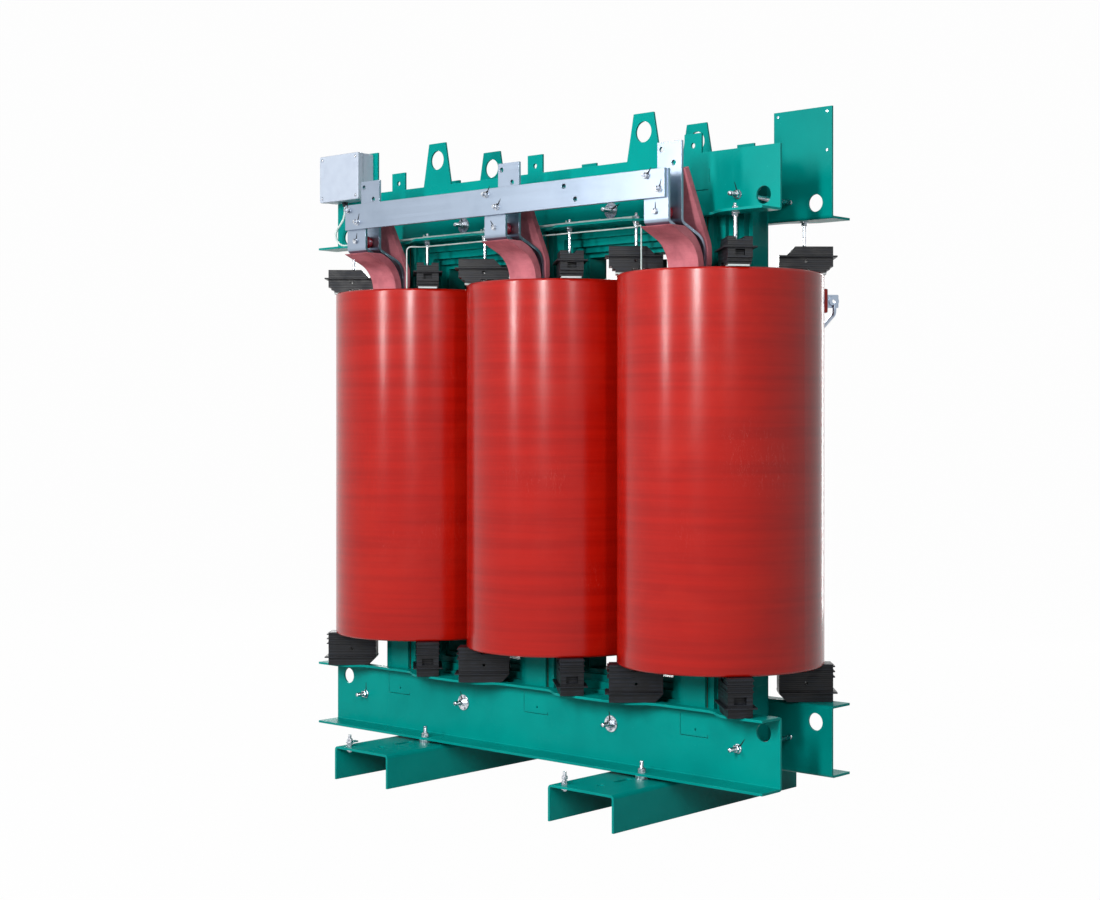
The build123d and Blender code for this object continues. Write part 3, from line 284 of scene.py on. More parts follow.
def cast_resin(name, settings, axis_x):
    """Pigmented epoxy cast under vacuum in a smooth mould.

    A satin gloss over which the turns of the winding show as faint level streaks, with
    hazy rubbed places, long soft flow marks down the wall and a few fine scratches.
    """
    material, tree, shader, place = start_material(name)
    centred = add_node(tree, "ShaderNodeMapping", {"Vector": place,
                                                   "Location": (-axis_x, 0, axis_x)})
    # One turn is about 11 mm high: level streaks are stretched hard round the coil.
    level = add_node(tree, "ShaderNodeMapping",
                     {"Vector": centred, "Scale": (1.3, 1.3, 0.45 / settings.layer_pitch)})
    streak = add_node(tree, "ShaderNodeTexNoise", {"Vector": level, "Scale": 1.0,
                                                   "Detail": 5.0, "Roughness": 0.6})
    # Fine level marks of the winding's strands, some 5 mm apart.
    strands = add_node(tree, "ShaderNodeMapping", {"Vector": centred,
                                                   "Scale": (3.0, 3.0, 200.0)})
    strand = add_node(tree, "ShaderNodeTexNoise", {"Vector": strands, "Scale": 1.0,
                                                   "Detail": 2.0})
    # Flow marks hang down the wall, some 80 mm wide and half a metre long.
    tall = add_node(tree, "ShaderNodeMapping", {"Vector": centred, "Scale": (8.0, 8.0, 1.1)})
    flow = add_node(tree, "ShaderNodeTexNoise", {"Vector": tall, "Scale": 1.6, "Detail": 4.0,
                                                 "Roughness": 0.6})
    haze = add_node(tree, "ShaderNodeTexNoise", {"Vector": centred, "Scale": 2.4,
                                                 "Detail": 6.0, "Roughness": 0.65,
                                                 "Distortion": 0.5})
    share = add_node(tree, "ShaderNodeMapRange", {0: streak, 1: 0.40, 2: 0.64, 4: 0.6})
    tone = add_node(tree, "ShaderNodeMix", {0: share, 6: (*settings.resin, 1),
                                            7: (*settings.resin_dark, 1)}, 2,
                    data_type="RGBA")
    share = add_node(tree, "ShaderNodeMapRange", {0: haze, 1: 0.50, 2: 0.80, 4: 0.45})
    tone = add_node(tree, "ShaderNodeMix", {0: share, 6: tone, 7: (*settings.resin_pale, 1)}, 2,
                    data_type="RGBA")
    # Scratches: the thin lines where a stretched, bent noise crosses its middle value.
    leaning = add_node(tree, "ShaderNodeMapping", {"Vector": centred,
                                                   "Rotation": (0.4, 0.5, 0.3),
                                                   "Scale": (60.0, 60.0, 12.0)})
    web = add_node(tree, "ShaderNodeTexNoise", {"Vector": leaning, "Scale": 1.0,
                                                "Detail": 6.0, "Distortion": 1.2})
    line = add_node(tree, "ShaderNodeMath", {0: web, 1: 0.5, 2: 0.004}, operation="COMPARE")
    patch = add_node(tree, "ShaderNodeTexNoise", {"Vector": centred, "Scale": 3.0})
    patch = add_node(tree, "ShaderNodeMapRange", {0: patch, 1: 0.58, 2: 0.70, 4: 0.14})
    scratch = add_node(tree, "ShaderNodeMath", {0: line, 1: patch}, operation="MULTIPLY")
    tone = add_node(tree, "ShaderNodeMix", {0: scratch, 6: tone,
                                            7: (*settings.resin_scuff, 1)}, 2,
                    data_type="RGBA")
    rough = add_node(tree, "ShaderNodeMapRange", {0: haze, 1: 0.30, 2: 0.75, 3: 0.13,
                                                  4: 0.23})
    rough = add_node(tree, "ShaderNodeMath", {0: flow, 1: 0.08, 2: rough},
                     operation="MULTIPLY_ADD")
    height = add_node(tree, "ShaderNodeMath", {0: streak, 1: 0.8, 2: flow},
                      operation="MULTIPLY_ADD")
    height = add_node(tree, "ShaderNodeMath", {0: strand, 1: 0.10, 2: height},
                      operation="MULTIPLY_ADD")
    finish_surface(tree, shader, tone, rough, height, 0.12 * MM, 3.0 * MM)
    shader.inputs["IOR"].default_value = 1.55
    shader.inputs["Specular IOR Level"].default_value = settings.gloss
    return material


def foil_winding(settings):
    """Aluminium foil and prepreg wound together and baked: fine rings on the end faces,
    bonded with brown resin."""
    material, tree, shader, place = start_material("foil_and_prepreg_winding")
    parts = add_node(tree, "ShaderNodeSeparateXYZ", {"Vector": place}, "X")
    # Wrapped to within half a spacing, so that all three coils share one set of rings.
    across = add_node(tree, "ShaderNodeMath", {0: parts, 1: COIL_SPACING / 2,
                                               2: -COIL_SPACING / 2}, operation="WRAP")
    deep = add_node(tree, "ShaderNodeSeparateXYZ", {"Vector": place}, "Y")
    flat = add_node(tree, "ShaderNodeCombineXYZ", {"X": across, "Y": deep})
    radius = add_node(tree, "ShaderNodeVectorMath", {0: flat}, "Value", operation="LENGTH")
    # Foil and prepreg are 1.5 mm a turn together, drawn 4 mm apart so that they show.
    turns = add_node(tree, "ShaderNodeMath", {0: radius, 1: 2 * np.pi / settings.foil_turn},
                     operation="MULTIPLY")
    ring = add_node(tree, "ShaderNodeMath", {0: turns}, operation="SINE")
    share = add_node(tree, "ShaderNodeMapRange", {0: ring, 1: -0.6, 2: 0.9})
    tone = add_node(tree, "ShaderNodeMix", {0: share, 6: (*settings.foil_resin, 1),
                                            7: (*settings.foil, 1)}, 2, data_type="RGBA")
    cloud = add_node(tree, "ShaderNodeTexNoise", {"Vector": place, "Scale": 18.0,
                                                  "Detail": 4.0})
    rough = add_node(tree, "ShaderNodeMapRange", {0: cloud, 3: 0.35, 4: 0.65})
    finish_surface(tree, shader, tone, rough, ring, 0.3 * MM, 1.0 * MM)
    return material


def drawn_aluminium(settings):
    """Aluminium bar as drawn: bright, with long fine die lines and a few hazy places."""
    material, tree, shader, place = start_material("drawn_aluminium_bar")
    # Die lines are 0.2 mm apart, drawn 1.2 mm apart so that they show.
    run_x = add_node(tree, "ShaderNodeMapping",
                     {"Vector": place, "Scale": (1.5, 60.0, 1 / settings.grain_pitch)})
    lines = add_node(tree, "ShaderNodeTexNoise", {"Vector": run_x, "Scale": 1.0,
                                                  "Detail": 3.0})
    cloud = add_node(tree, "ShaderNodeTexNoise", {"Vector": place, "Scale": 9.0,
                                                  "Detail": 5.0})
    share = add_node(tree, "ShaderNodeMapRange", {0: cloud, 1: 0.45, 2: 0.80, 4: 0.5})
    tone = add_node(tree, "ShaderNodeMix", {0: share, 6: (*settings.aluminium, 1),
                                            7: (*settings.aluminium_haze, 1)}, 2,
                    data_type="RGBA")
    rough = add_node(tree, "ShaderNodeMapRange", {0: lines, 1: 0.30, 2: 0.70, 3: 0.30,
                                                  4: 0.42})
    finish_surface(tree, shader, tone, rough, lines, 0.03 * MM, 0.8 * MM)
    shader.inputs["Metallic"].default_value = 1.0
    return material


def plated_metal(name, pale, dark, grain):
    """Small turned or pressed metal pieces, barrel-plated: silvery with cloudy shades."""
    material, tree, shader, place = start_material(name)
    cloud = add_node(tree, "ShaderNodeTexNoise", {"Vector": place, "Scale": 110.0,
                                                  "Detail": 4.0})
    share = add_node(tree, "ShaderNodeMapRange", {0: cloud, 1: 0.42, 2: 0.68})
    tone = add_node(tree, "ShaderNodeMix", {0: share, 6: (*pale, 1), 7: (*dark, 1)}, 2,
                    data_type="RGBA")
    rough = add_node(tree, "ShaderNodeMapRange", {0: cloud, 1: 0.3, 2: 0.7, 3: 0.16, 4: 0.34})
    fine = add_node(tree, "ShaderNodeTexNoise", {"Vector": place, "Scale": 1 / grain})
    finish_surface(tree, shader, tone, rough, fine, 0.03 * MM, 0.5 * MM)
    shader.inputs["Metallic"].default_value = 1.0
    return material


def glass_tape(settings):
    """Glass cloth and tape soaked in pink resin and cured on the bar: a close weave, laps
    across the bar, and resin pooled here and there to a gloss."""
    material, tree, shader, place = start_material("resin_soaked_glass_tape")
    # The weave has 0.8 mm threads, drawn 2.6 mm apart so that it shows.
    scale = WAVE_TO_PITCH / settings.thread
    across = add_node(tree, "ShaderNodeTexWave", {"Vector": place, "Distortion": 0.5,
                                                  "Scale": scale}, "Fac",
                      bands_direction="X")
    along = add_node(tree, "ShaderNodeTexWave", {"Vector": place, "Distortion": 0.5,
                                                 "Scale": scale}, "Fac",
                     bands_direction="Z")
    weave = add_node(tree, "ShaderNodeMath", {0: across, 1: along}, operation="MULTIPLY")
    # Tape laps over itself every 22 mm.
    laps = add_node(tree, "ShaderNodeTexWave", {"Vector": place, "Scale": 14.0,
                                                "Distortion": 2.0, "Detail": 1.0,
                                                "Detail Scale": 0.3}, "Fac",
                    bands_direction="Z", wave_profile="SAW")
    pool = add_node(tree, "ShaderNodeTexNoise", {"Vector": place, "Scale": 12.0,
                                                 "Detail": 5.0, "Roughness": 0.6})
    share = add_node(tree, "ShaderNodeMapRange", {0: pool, 1: 0.40, 2: 0.68, 4: 0.8})
    tone = add_node(tree, "ShaderNodeMix", {0: share, 6: (*settings.sleeve, 1),
                                            7: (*settings.sleeve_dark, 1)}, 2,
                    data_type="RGBA")
    share = add_node(tree, "ShaderNodeMath", {0: weave, 1: 0.28}, operation="MULTIPLY")
    tone = add_node(tree, "ShaderNodeMix", {0: share, 6: tone,
                                            7: (*settings.sleeve_pale, 1)}, 2,
                    data_type="RGBA")
    share = add_node(tree, "ShaderNodeMapRange", {0: laps, 1: 0.93, 2: 1.0, 4: 0.25})
    tone = add_node(tree, "ShaderNodeMix", {0: share, 6: tone,
                                            7: (*settings.sleeve_dark, 1)}, 2,
                    data_type="RGBA")
    rough = add_node(tree, "ShaderNodeMapRange", {0: pool, 1: 0.35, 2: 0.70, 3: 0.62,
                                                  4: 0.36})
    height = add_node(tree, "ShaderNodeMath", {0: weave, 1: 0.3, 2: pool},
                      operation="MULTIPLY_ADD")
    height = add_node(tree, "ShaderNodeMath", {0: laps, 1: 0.25, 2: height},
                      operation="MULTIPLY_ADD")
    finish_surface(tree, shader, tone, rough, height, 0.7 * MM, 2.5 * MM)
    shader.inputs["Specular IOR Level"].default_value = 0.15
    return material


def moulded(name, base, shade, rough_low, rough_high, relief, edge, specular=0.2, rib=0):
    """Moulding in a steel mould: even colour with slow shading, faint flow and fibre
    marks, and soft arrises. The finish runs from polished to half matt. Where a rib pitch
    is given, low level ribs stand round the moulding between its long fins, and their
    grooves are darkened nearly to black as painted shade."""
    material, tree, shader, place = start_material(name)
    cloud = add_node(tree, "ShaderNodeTexNoise", {"Vector": place, "Scale": 26.0,
                                                  "Detail": 4.0})
    share = add_node(tree, "ShaderNodeMapRange", {0: cloud, 1: 0.38, 2: 0.72})
    tone = add_node(tree, "ShaderNodeMix", {0: share, 6: (*base, 1), 7: (*shade, 1)}, 2,
                    data_type="RGBA")
    rough = add_node(tree, "ShaderNodeMapRange", {0: cloud, 1: 0.3, 2: 0.7, 3: rough_low,
                                                  4: rough_high})
    fibres = add_node(tree, "ShaderNodeMapping", {"Vector": place,
                                                  "Scale": (340.0, 340.0, 110.0)})
    fine = add_node(tree, "ShaderNodeTexNoise", {"Vector": fibres, "Scale": 1.0,
                                                 "Detail": 2.0})
    if rib:
        bands = add_node(tree, "ShaderNodeTexWave",
                         {"Vector": place, "Scale": WAVE_TO_PITCH / rib}, "Fac",
                         bands_direction="Z")
        step = add_node(tree, "ShaderNodeMapRange", {0: bands, 1: 0.40, 2: 0.60})
        # Painted shade: the grooves between the ribs are darkened nearly to black.
        groove_shade = add_node(tree, "ShaderNodeMapRange", {0: bands, 1: 0.45, 2: 0.15, 4: 0.8})
        tone = add_node(tree, "ShaderNodeMix", {0: groove_shade, 6: tone, 7: PAINTED_GROOVE_SHADE}, 2,
                        data_type="RGBA")
        fine = add_node(tree, "ShaderNodeMath", {0: step, 1: 12.0, 2: fine},
                        operation="MULTIPLY_ADD")
    finish_surface(tree, shader, tone, rough, fine, relief, edge)
    shader.inputs["Specular IOR Level"].default_value = specular
    return material


# ---------------------------------------------------------------- surfaces in numpy
FRONT = np.array(((1, 0, 0), (0, 0, -1), (0, 1, 0)))      # turns +Z to the front, -Y


def grid_faces(rows, columns, closed=True):
    """Corner numbers of the quads of a grid, joined round its columns if closed."""
    r, c = np.meshgrid(np.arange(rows - 1), np.arange(columns if closed else columns - 1),
                       indexing="ij")
    n = (c + 1) % columns
    return np.stack([r * columns + c, r * columns + n, (r + 1) * columns + n,
                     (r + 1) * columns + c], axis=-1).reshape(-1, 4)


def add_piece(name, blocks, material, smooth=True):
    """Make one mesh object from blocks of rows of points, each block a closed skin.

    The first and last row of a block shrink to one point each, which shuts its ends.
    """
    points = np.concatenate([block.reshape(-1, 3) for block in blocks])
    starts = np.cumsum([0] + [block.shape[0] * block.shape[1] for block in blocks])
    faces = np.concatenate([grid_faces(*block.shape[:2]) + start
                            for block, start in zip(blocks, starts)])
    mesh = bpy.data.meshes.new(name)
    mesh.from_pydata(points.tolist(), [], faces.tolist())
    mesh.polygons.foreach_set("use_smooth", np.full(len(mesh.polygons), smooth))
    mesh.materials.append(material)
    bm = bmesh.new()
    bm.from_mesh(mesh)
    bmesh.ops.remove_doubles(bm, verts=bm.verts, dist=1e-7)
    bmesh.ops.recalc_face_normals(bm, faces=bm.faces)
    bm.to_mesh(mesh)
    bm.free()
    piece = bpy.data.objects.new(name, mesh)
    bpy.context.scene.collection.objects.link(piece)
    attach(piece, "root")
    return piece


def shut(rows):
    """Close a run of rings: the middle of the first and of the last ring, repeated."""
    around = rows.shape[1]
    first = np.repeat(rows[:1].mean(axis=1, keepdims=True), around, axis=1)
    last = np.repeat(rows[-1:].mean(axis=1, keepdims=True), around, axis=1)
    return np.concatenate([first, rows, last])


def threaded_rod(size, pitch, reach, threaded, around=14, steps=4):
    """Threaded rod along Z about the origin, as rows of points.

    At angle a and height z the radius is the outer radius less the thread's depth times a
    zigzag of (z / pitch - a / one turn), drawn in to the core over 1.5 pitches at each end.
    Between the two threaded ends the shank is plain, where the depth falls to nothing.
    """
    z = np.linspace(0, reach, int(reach / pitch * steps))[:, None]
    a = np.linspace(0, 2 * np.pi, around, endpoint=False)[None, :]
    shank = np.clip((np.minimum(z, reach - z) - threaded) / pitch, 0, 1)
    depth = THREAD_DEPTH * pitch * (1 - shank)
    zigzag = np.abs(((z / pitch - a / (2 * np.pi)) % 1) * 2 - 1)
    lead = np.clip(np.minimum(z, reach - z) / (1.5 * pitch), 0, 1)
    radius = np.minimum(size / 2 - depth * zigzag, size / 2 - depth * (1 - lead))
    return shut(np.stack([radius * np.cos(a), radius * np.sin(a), z - reach / 2 + 0 * a],
                         axis=-1))


def ink_stroke(start, steps, width, thickness):
    """One stroke of ink seen from the front, drooping over each edge that it crosses.

    The path is a run of corners, each a distance from the nut's middle and a height over
    the washer's seat. The width swells and thins along it by a slow sine, and the ribbon
    is closed, a few tenths of a millimetre thick. Its distance runs along X, its height
    along Z.
    """
    corners = np.array(steps, dtype=float)
    t = np.linspace(0, len(corners) - 1, 8 * (len(corners) - 1) + 1)
    path = np.stack([np.interp(t, np.arange(len(corners)), corners[:, k]) for k in (0, 1)],
                    axis=1)
    run = np.linspace(0, 1, len(path))
    taper = np.clip(6 * run * (1 - run) + 0.35, 0, 1)
    half = width / 2 * (1 - 0.25 * np.sin(7 * run + start)) * taper
    wander = 0.12 * width * np.sin(4 * run + 2 * start)
    rows = np.stack([
        np.stack([path[:, 0], wander - half, path[:, 1]], axis=1),
        np.stack([path[:, 0], wander + half, path[:, 1]], axis=1),
        np.stack([path[:, 0], wander + half, path[:, 1] + thickness], axis=1),
        np.stack([path[:, 0], wander - half, path[:, 1] + thickness], axis=1)], axis=1)
    return shut(rows)


def solids_of(name):
    """Middle and size of every separate solid in a frame node, as arrays.

    Points that coincide are one, and each takes the least number of the points that it
    shares an edge with, again and again until nothing changes.
    """
    mesh = NODES[name].data
    points = np.empty(len(mesh.vertices) * 3)
    mesh.vertices.foreach_get("co", points)
    points = points.reshape(-1, 3)
    keys = np.unique(np.round(points, 6), axis=0, return_inverse=True)[1].ravel()
    edges = np.empty(len(mesh.edges) * 2, dtype=int)
    mesh.edges.foreach_get("vertices", edges)
    pairs = keys[edges.reshape(-1, 2)]
    label = np.arange(keys.max() + 1)
    while True:
        fresh = label.copy()
        least = np.minimum(label[pairs[:, 0]], label[pairs[:, 1]])
        np.minimum.at(fresh, pairs[:, 0], least)
        np.minimum.at(fresh, pairs[:, 1], least)
        if np.array_equal(fresh, label):
            break
        label = fresh
    owner = label[keys]
    found = np.unique(owner)
    low = np.array([points[owner == f].min(axis=0) for f in found])
    high = np.array([points[owner == f].max(axis=0) for f in found])
    return (low + high) / 2, high - low


# ---------------------------------------------------------------- operators
class TRANSFORMER_OT_coils(bpy.types.Operator):
    """Give the coils their resin and winding surfaces"""
    bl_idname = "transformer.coils"
    bl_label = "Coils"

    def execute(self, context):
        settings = context.scene.transformer_coils
        for name in ("hv_coil_left", "hv_coil_middle", "hv_coil_right"):
            low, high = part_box(name)
            middle = (low[0] + high[0]) / 2
            dress(cast_resin(name + "_red_epoxy", settings, middle), name)
        dress(foil_winding(settings), "lv_coils")
        return {"FINISHED"}


class TRANSFORMER_OT_painted_steel(bpy.types.Operator):
    """Paint the core, the beams and the feet"""
    bl_idname = "transformer.painted_steel"
    bl_label = "Painted steel"

    def execute(self, context):
        settings = context.scene.transformer_paint
        dress(sprayed_enamel("green_enamel_on_plate", settings, sheets=False),
              "lower_beam_front", "lower_beam_rear", "upper_beam_front", "upper_beam_rear",
              "foot_channel_left", "foot_channel_right", "tie_plates")
        dress(sprayed_enamel("green_enamel_on_core_sheets", settings, sheets=True),
              "core_limbs", "core_lower_yoke", "core_upper_yoke")
        return {"FINISHED"}


class TRANSFORMER_OT_insulation(bpy.types.Operator):
    """Dress mouldings, sleeves, pads, boards, stand-offs, the box and the cables"""
    bl_idname = "transformer.insulation"
    bl_label = "Insulation and mouldings"

    def execute(self, context):
        s = context.scene.transformer_insulation
        dress(glass_tape(s), "star_sleeves", "phase_sleeves")
        # Glass-filled polyester, hot pressed: half matt, with fibre marks.
        dress(moulded("black_glass_filled_polyester", s.moulding, s.moulding_pale,
                      0.36, 0.55, 0.12 * MM, 1.8 * MM, 0.3, s.rib_pitch),
              "lower_supports", "upper_supports")
        # Nylon, injection moulded: even satin.
        dress(moulded("black_nylon", s.moulding, s.moulding_pale, 0.40, 0.50, 0.05 * MM,
                      0.8 * MM), "cable_gland")
        # Polyester moulded against polished steel: deep wet gloss.
        dress(moulded("red_polished_polyester", s.barrel, s.barrel_shade, 0.12, 0.22,
                      0.03 * MM, 2.0 * MM, 0.6), "standoff_insulators")
        # Silicone rubber, cut from sheet: dull, chalky.
        dress(moulded("pale_silicone_rubber", s.pad, s.cable_shade, 0.70, 0.85, 0.10 * MM,
                      1.5 * MM), "support_pads")
        # Pressboard, calendered from pulp: dry and fibrous.
        dress(moulded("varnished_pressboard", s.board, s.board_shade, 0.75, 0.90, 0.25 * MM,
                      0.8 * MM), "yoke_boards", "tie_plate_boards")
        # ABS, injection moulded in an etched mould: fine even satin.
        dress(moulded("grey_abs", s.box, s.box_shade, 0.34, 0.46, 0.04 * MM, 2.5 * MM),
              "terminal_box_base", "terminal_box_lid")
        # PVC, extruded: soft sheen with the lay of the cores under it.
        dress(moulded("white_pvc_sheath", s.cable, s.cable_shade, 0.36, 0.50, 0.10 * MM,
                      1.0 * MM), "sensor_cable", "sensor_lead", "cable_ties")
        return {"FINISHED"}


class TRANSFORMER_OT_metal(bpy.types.Operator):
    """Dress the bars, links, terminals and fasteners"""
    bl_idname = "transformer.metal"
    bl_label = "Bars and fasteners"

    def execute(self, context):
        s = context.scene.transformer_metal
        dress(drawn_aluminium(s), "star_bars", "phase_bars", "neutral_bar", "hv_terminals",
              "delta_links")
        # Zinc grains are far below 0.1 mm, drawn 1.5 mm apart so that they show.
        dress(plated_metal("bright_zinc_plating", s.zinc, s.zinc_shade, 1.5 * MM),
              "lower_clamp_studs", "lower_clamp_washers", "lower_clamp_nuts",
              "upper_clamp_studs", "upper_clamp_washers", "upper_clamp_nuts", "foot_bolts",
              "foot_nuts", "foot_washers", "foot_spacers", "earth_screws", "earth_lug",
              "pressure_studs", "pressure_washers", "pressure_nuts", "standoff_screws",
              "standoff_washers", "neutral_bolts", "neutral_nuts", "neutral_washers",
              "terminal_box_screws", "end_plate_screws")
        dress(plated_metal("tinned_brass", s.brass, s.brass_shade, 1.5 * MM),
              "tap_terminals", "tap_bridges")
        return {"FINISHED"}


class TRANSFORMER_OT_threads(bpy.types.Operator):
    """Cut real threads on the studs and bolts"""
    bl_idname = "transformer.threads"
    bl_label = "Threads"

    def execute(self, context):
        zinc = bpy.data.materials["bright_zinc_plating"]
        for node, pitch, threaded, turn in (
                ("pressure_studs", 1.75 * MM, 30 * MM, np.eye(3)),
                ("foot_bolts", 2.0 * MM, 45 * MM, np.eye(3)),
                ("upper_clamp_studs", 2.0 * MM, 60 * MM, FRONT),
                ("lower_clamp_studs", 2.0 * MM, 60 * MM, FRONT)):
            middles, sizes = solids_of(node)
            rod = threaded_rod(sizes[0].min(), pitch, sizes[0].max(), threaded) @ turn.T
            piece = add_piece(node + "_thread", [rod + middle for middle in middles], zinc)
            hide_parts(node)
        return {"FINISHED"}


class TRANSFORMER_OT_torque_marks(bpy.types.Operator):
    """Draw the fitter's ink stroke over each torqued nut and screw on the front side"""
    bl_idname = "transformer.torque_marks"
    bl_label = "Torque marks"

    def execute(self, context):
        s = context.scene.transformer_insulation
        # Paint marker: thin solvent ink, dried to a dull black.
        ink = moulded("black_marker_ink", s.ink, s.ink, 0.45, 0.60, 0.02 * MM, 0.2 * MM)
        rng = np.random.default_rng(7)
        strokes = []
        # Joint, its nuts or screws, and how far from the middle the ink runs out.
        for joint, heads, out in (("lower_clamp", "nuts", 44 * MM),
                                  ("upper_clamp", "nuts", 44 * MM),
                                  ("neutral", "nuts", 32 * MM),
                                  ("standoff", "screws", 30 * MM)):
            middles, sizes = solids_of(f"{joint}_{heads}")
            seats, plates = solids_of(joint + "_washers")
            for middle, size in zip(middles, sizes):
                if middle[1] > 0:
                    continue
                near = np.argmin(np.linalg.norm(seats - middle, axis=1))
                seat = seats[near][1] + plates[near][1] / 2
                plate = plates[near][1]
                edge = plates[near][0] / 2
                top = seat - (middle[1] - size[1] / 2)
                flat = min(size[0], size[2]) / 2
                lean = rng.uniform(0.5, 2.2)
                # Over the nut, down its side, across the washer and out on the plate.
                path = [(flat * 0.35, top + 0.2 * MM), (flat * 0.96, top + 0.2 * MM),
                        (flat * 1.06, plate + 0.8 * MM), (flat * 1.1, plate + 0.1 * MM),
                        (edge * 0.98, plate + 0.1 * MM), (edge * 1.03, 0.1 * MM),
                        (max(out, edge * 1.3), 0.1 * MM)]
                stroke = ink_stroke(lean, path, 5.0 * MM, 0.5 * MM)
                spin = np.array(((cos(lean), -sin(lean), 0), (sin(lean), cos(lean), 0),
                                 (0, 0, 1)))
                foot = np.array((middle[0], seat, middle[2]))
                strokes.append(stroke @ spin.T @ FRONT.T + foot)
        add_piece("torque_marks", strokes, ink, smooth=False)
        return {"FINISHED"}


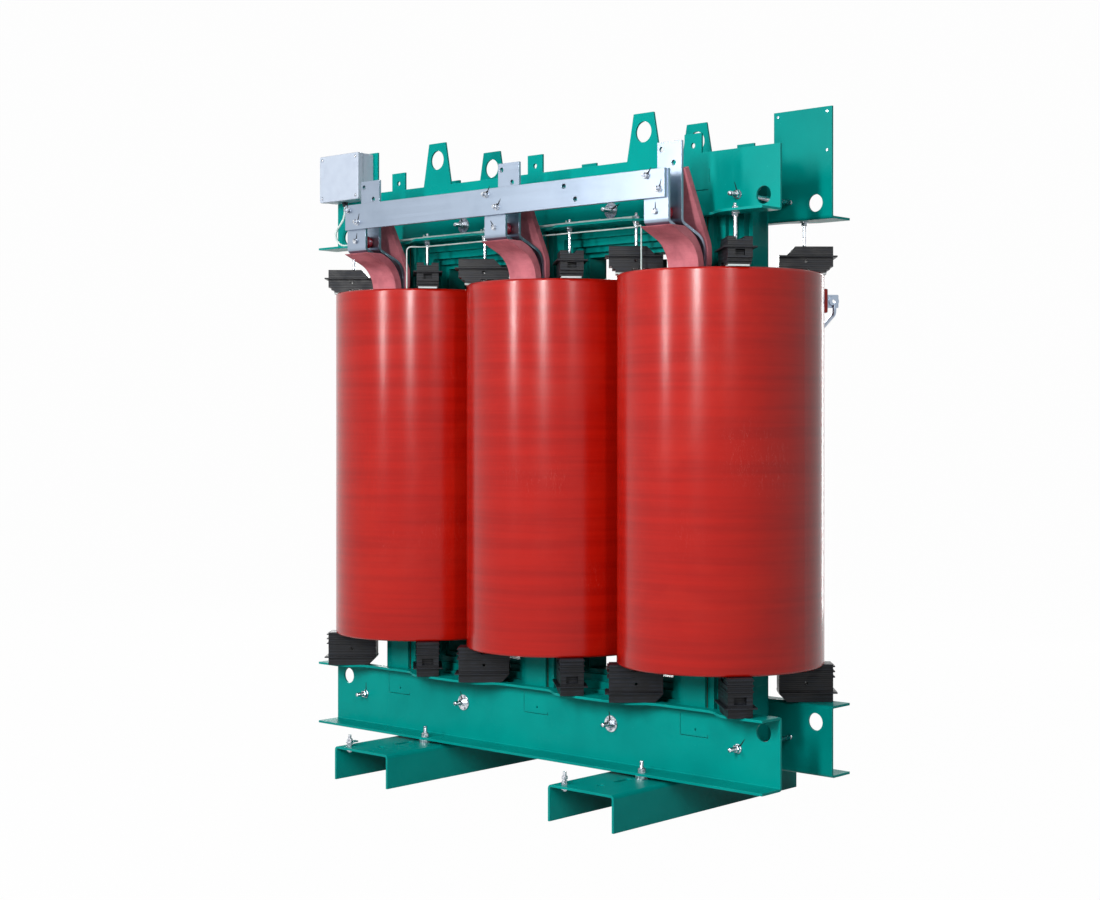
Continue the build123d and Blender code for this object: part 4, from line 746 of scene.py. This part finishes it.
class TRANSFORMER_OT_studio(bpy.types.Operator):
    """Build the white sweep, the lamps and the camera"""
    bl_idname = "transformer.studio"
    bl_label = "Studio"

    def execute(self, context):
        s = context.scene.transformer_studio
        turn = Matrix.Rotation(s.turn, 3, "Z")
        # Sweep: a floor that turns up into a wall along a quarter circle, carried sideways.
        t = np.linspace(0, np.pi / 2, 24)
        run = np.concatenate([[-SWEEP_REACH], s.wall + SWEEP_BEND * np.sin(t),
                              [s.wall + SWEEP_BEND]])
        rise = np.concatenate([[0], SWEEP_BEND - SWEEP_BEND * np.cos(t), [SWEEP_REACH]])
        across = np.array([[-SWEEP_HALF_WIDTH, SWEEP_HALF_WIDTH]])
        points = np.stack([across + 0 * run[:, None], run[:, None] + 0 * across,
                           rise[:, None] + 0 * across], axis=-1) @ np.array(turn).T
        material, tree, shader, place = start_material("matt_white_paper_sweep")
        # Paper: even white, with a grain of pulp too fine to see from here.
        cloud = add_node(tree, "ShaderNodeTexNoise", {"Vector": place, "Scale": 0.8})
        tone = add_node(tree, "ShaderNodeMapRange", {0: cloud, 3: 0.36, 4: 0.38})
        tree.links.new(tone, shader.inputs["Base Color"])
        shader.inputs["Roughness"].default_value = 0.9
        glow = add_node(tree, "ShaderNodeEmission", {"Color": (1, 1, 1, 1), "Strength": 1.0})
        # Nearly all of the paper shows as plain white: what is left takes a faint shadow.
        share = add_node(tree, "ShaderNodeMath", {0: unlit_share(tree), 1: s.paper},
                         operation="MULTIPLY")
        mix = add_node(tree, "ShaderNodeMixShader", {0: share, 1: shader.outputs[0], 2: glow})
        tree.links.new(mix, tree.nodes["Material Output"].inputs["Surface"])
        mesh = bpy.data.meshes.new("studio_sweep")
        mesh.from_pydata(points.reshape(-1, 3).tolist(), [],
                         grid_faces(len(run), 2, closed=False).tolist())
        mesh.polygons.foreach_set("use_smooth", np.full(len(mesh.polygons), True))
        mesh.materials.append(material)
        sweep = bpy.data.objects.new("studio_sweep", mesh)
        context.scene.collection.objects.link(sweep)

        world = bpy.data.worlds.new("studio_world")
        context.scene.world = world
        world.use_nodes = True
        tree = world.node_tree
        tree.nodes.clear()
        room = add_node(tree, "ShaderNodeBackground", {"Color": ROOM_TINT,
                                                       "Strength": s.room})
        white = add_node(tree, "ShaderNodeBackground", {"Color": (1, 1, 1, 1),
                                                        "Strength": 1.0})
        mix = add_node(tree, "ShaderNodeMixShader", {0: unlit_share(tree), 1: room, 2: white})
        out = tree.nodes.new("ShaderNodeOutputWorld")
        tree.links.new(mix, out.inputs["Surface"])

        # Name, swing from the camera, distance, height, width, height of the lamp, watts.
        for name, swing, distance, height, wide, tall, power in (
                ("left_strip", -56, 5.2, 2.7, 0.42, 2.0, 135),
                ("key_strip", -20, 5.4, 2.9, 0.46, 2.0, 195),
                ("narrow_strip", 13, 5.0, 3.1, 0.16, 2.0, 62),
                ("top_softbox", -50, 3.4, 6.0, 2.4, 2.4, 25),
                ("rim_strip", 142, 5.0, 1.8, 0.3, 3.4, 30),
                ("back_softbox", -175, 6.5, 3.2, 2.6, 2.6, 330)):
            data = bpy.data.lights.new(name, "AREA")
            data.shape = "RECTANGLE"
            data.size = wide
            data.size_y = tall
            data.energy = power
            lamp = bpy.data.objects.new(name, data)
            context.scene.collection.objects.link(lamp)
            ray = turn @ Matrix.Rotation(radians(swing), 3, "Z") @ Vector((0, -distance, 0))
            lamp.location = ray + Vector((0, 0, height))
            away = lamp.location - Vector((0, 0, LAMP_AIM))
            lamp.rotation_euler = away.to_track_quat("Z", "Y").to_euler()

        data = bpy.data.cameras.new("camera")
        data.sensor_width = 36
        data.lens = s.lens
        data.shift_x = s.shift_x
        data.shift_y = s.shift_y
        data.clip_end = 100
        camera = bpy.data.objects.new("camera", data)
        camera.location = s.eye
        camera.rotation_euler = (radians(90), 0, s.turn)
        context.scene.collection.objects.link(camera)
        context.scene.camera = camera
        context.scene.view_settings.view_transform = "Standard"
        return {"FINISHED"}


class TRANSFORMER_PT_panel(bpy.types.Panel):
    """Lists the settings and the steps"""
    bl_label = "Transformer"
    bl_idname = "TRANSFORMER_PT_panel"
    bl_space_type = "VIEW_3D"
    bl_region_type = "UI"
    bl_category = "Transformer"

    def draw(self, context):
        for group, kind in SETTINGS.items():
            box = self.layout.box()
            box.label(text=kind.__name__)
            for key in kind.__annotations__:
                box.prop(getattr(context.scene, group), key)
        for step in STEPS:
            self.layout.operator(step.bl_idname)


SETTINGS = {
    "transformer_coils": CoilSettings,
    "transformer_paint": PaintSettings,
    "transformer_metal": MetalSettings,
    "transformer_insulation": InsulationSettings,
    "transformer_studio": StudioSettings,
}
STEPS = (TRANSFORMER_OT_coils, TRANSFORMER_OT_painted_steel, TRANSFORMER_OT_insulation,
         TRANSFORMER_OT_metal, TRANSFORMER_OT_threads, TRANSFORMER_OT_torque_marks,
         TRANSFORMER_OT_studio)
CLASSES = (*SETTINGS.values(), *STEPS, TRANSFORMER_PT_panel)


def register():
    """Register every class and hang the settings on the scene."""
    for kind in CLASSES:
        bpy.utils.register_class(kind)
    for group, kind in SETTINGS.items():
        setattr(bpy.types.Scene, group, bpy.props.PointerProperty(type=kind))


def unregister():
    """Take the settings off the scene and unregister every class."""
    for group in SETTINGS:
        delattr(bpy.types.Scene, group)
    for kind in reversed(CLASSES):
        bpy.utils.unregister_class(kind)


def main():
    """Run every step in order."""
    register()
    for step in STEPS:
        group, name = step.bl_idname.split(".")
        getattr(getattr(bpy.ops, group), name)()


if __name__ == "__main__":
    main()
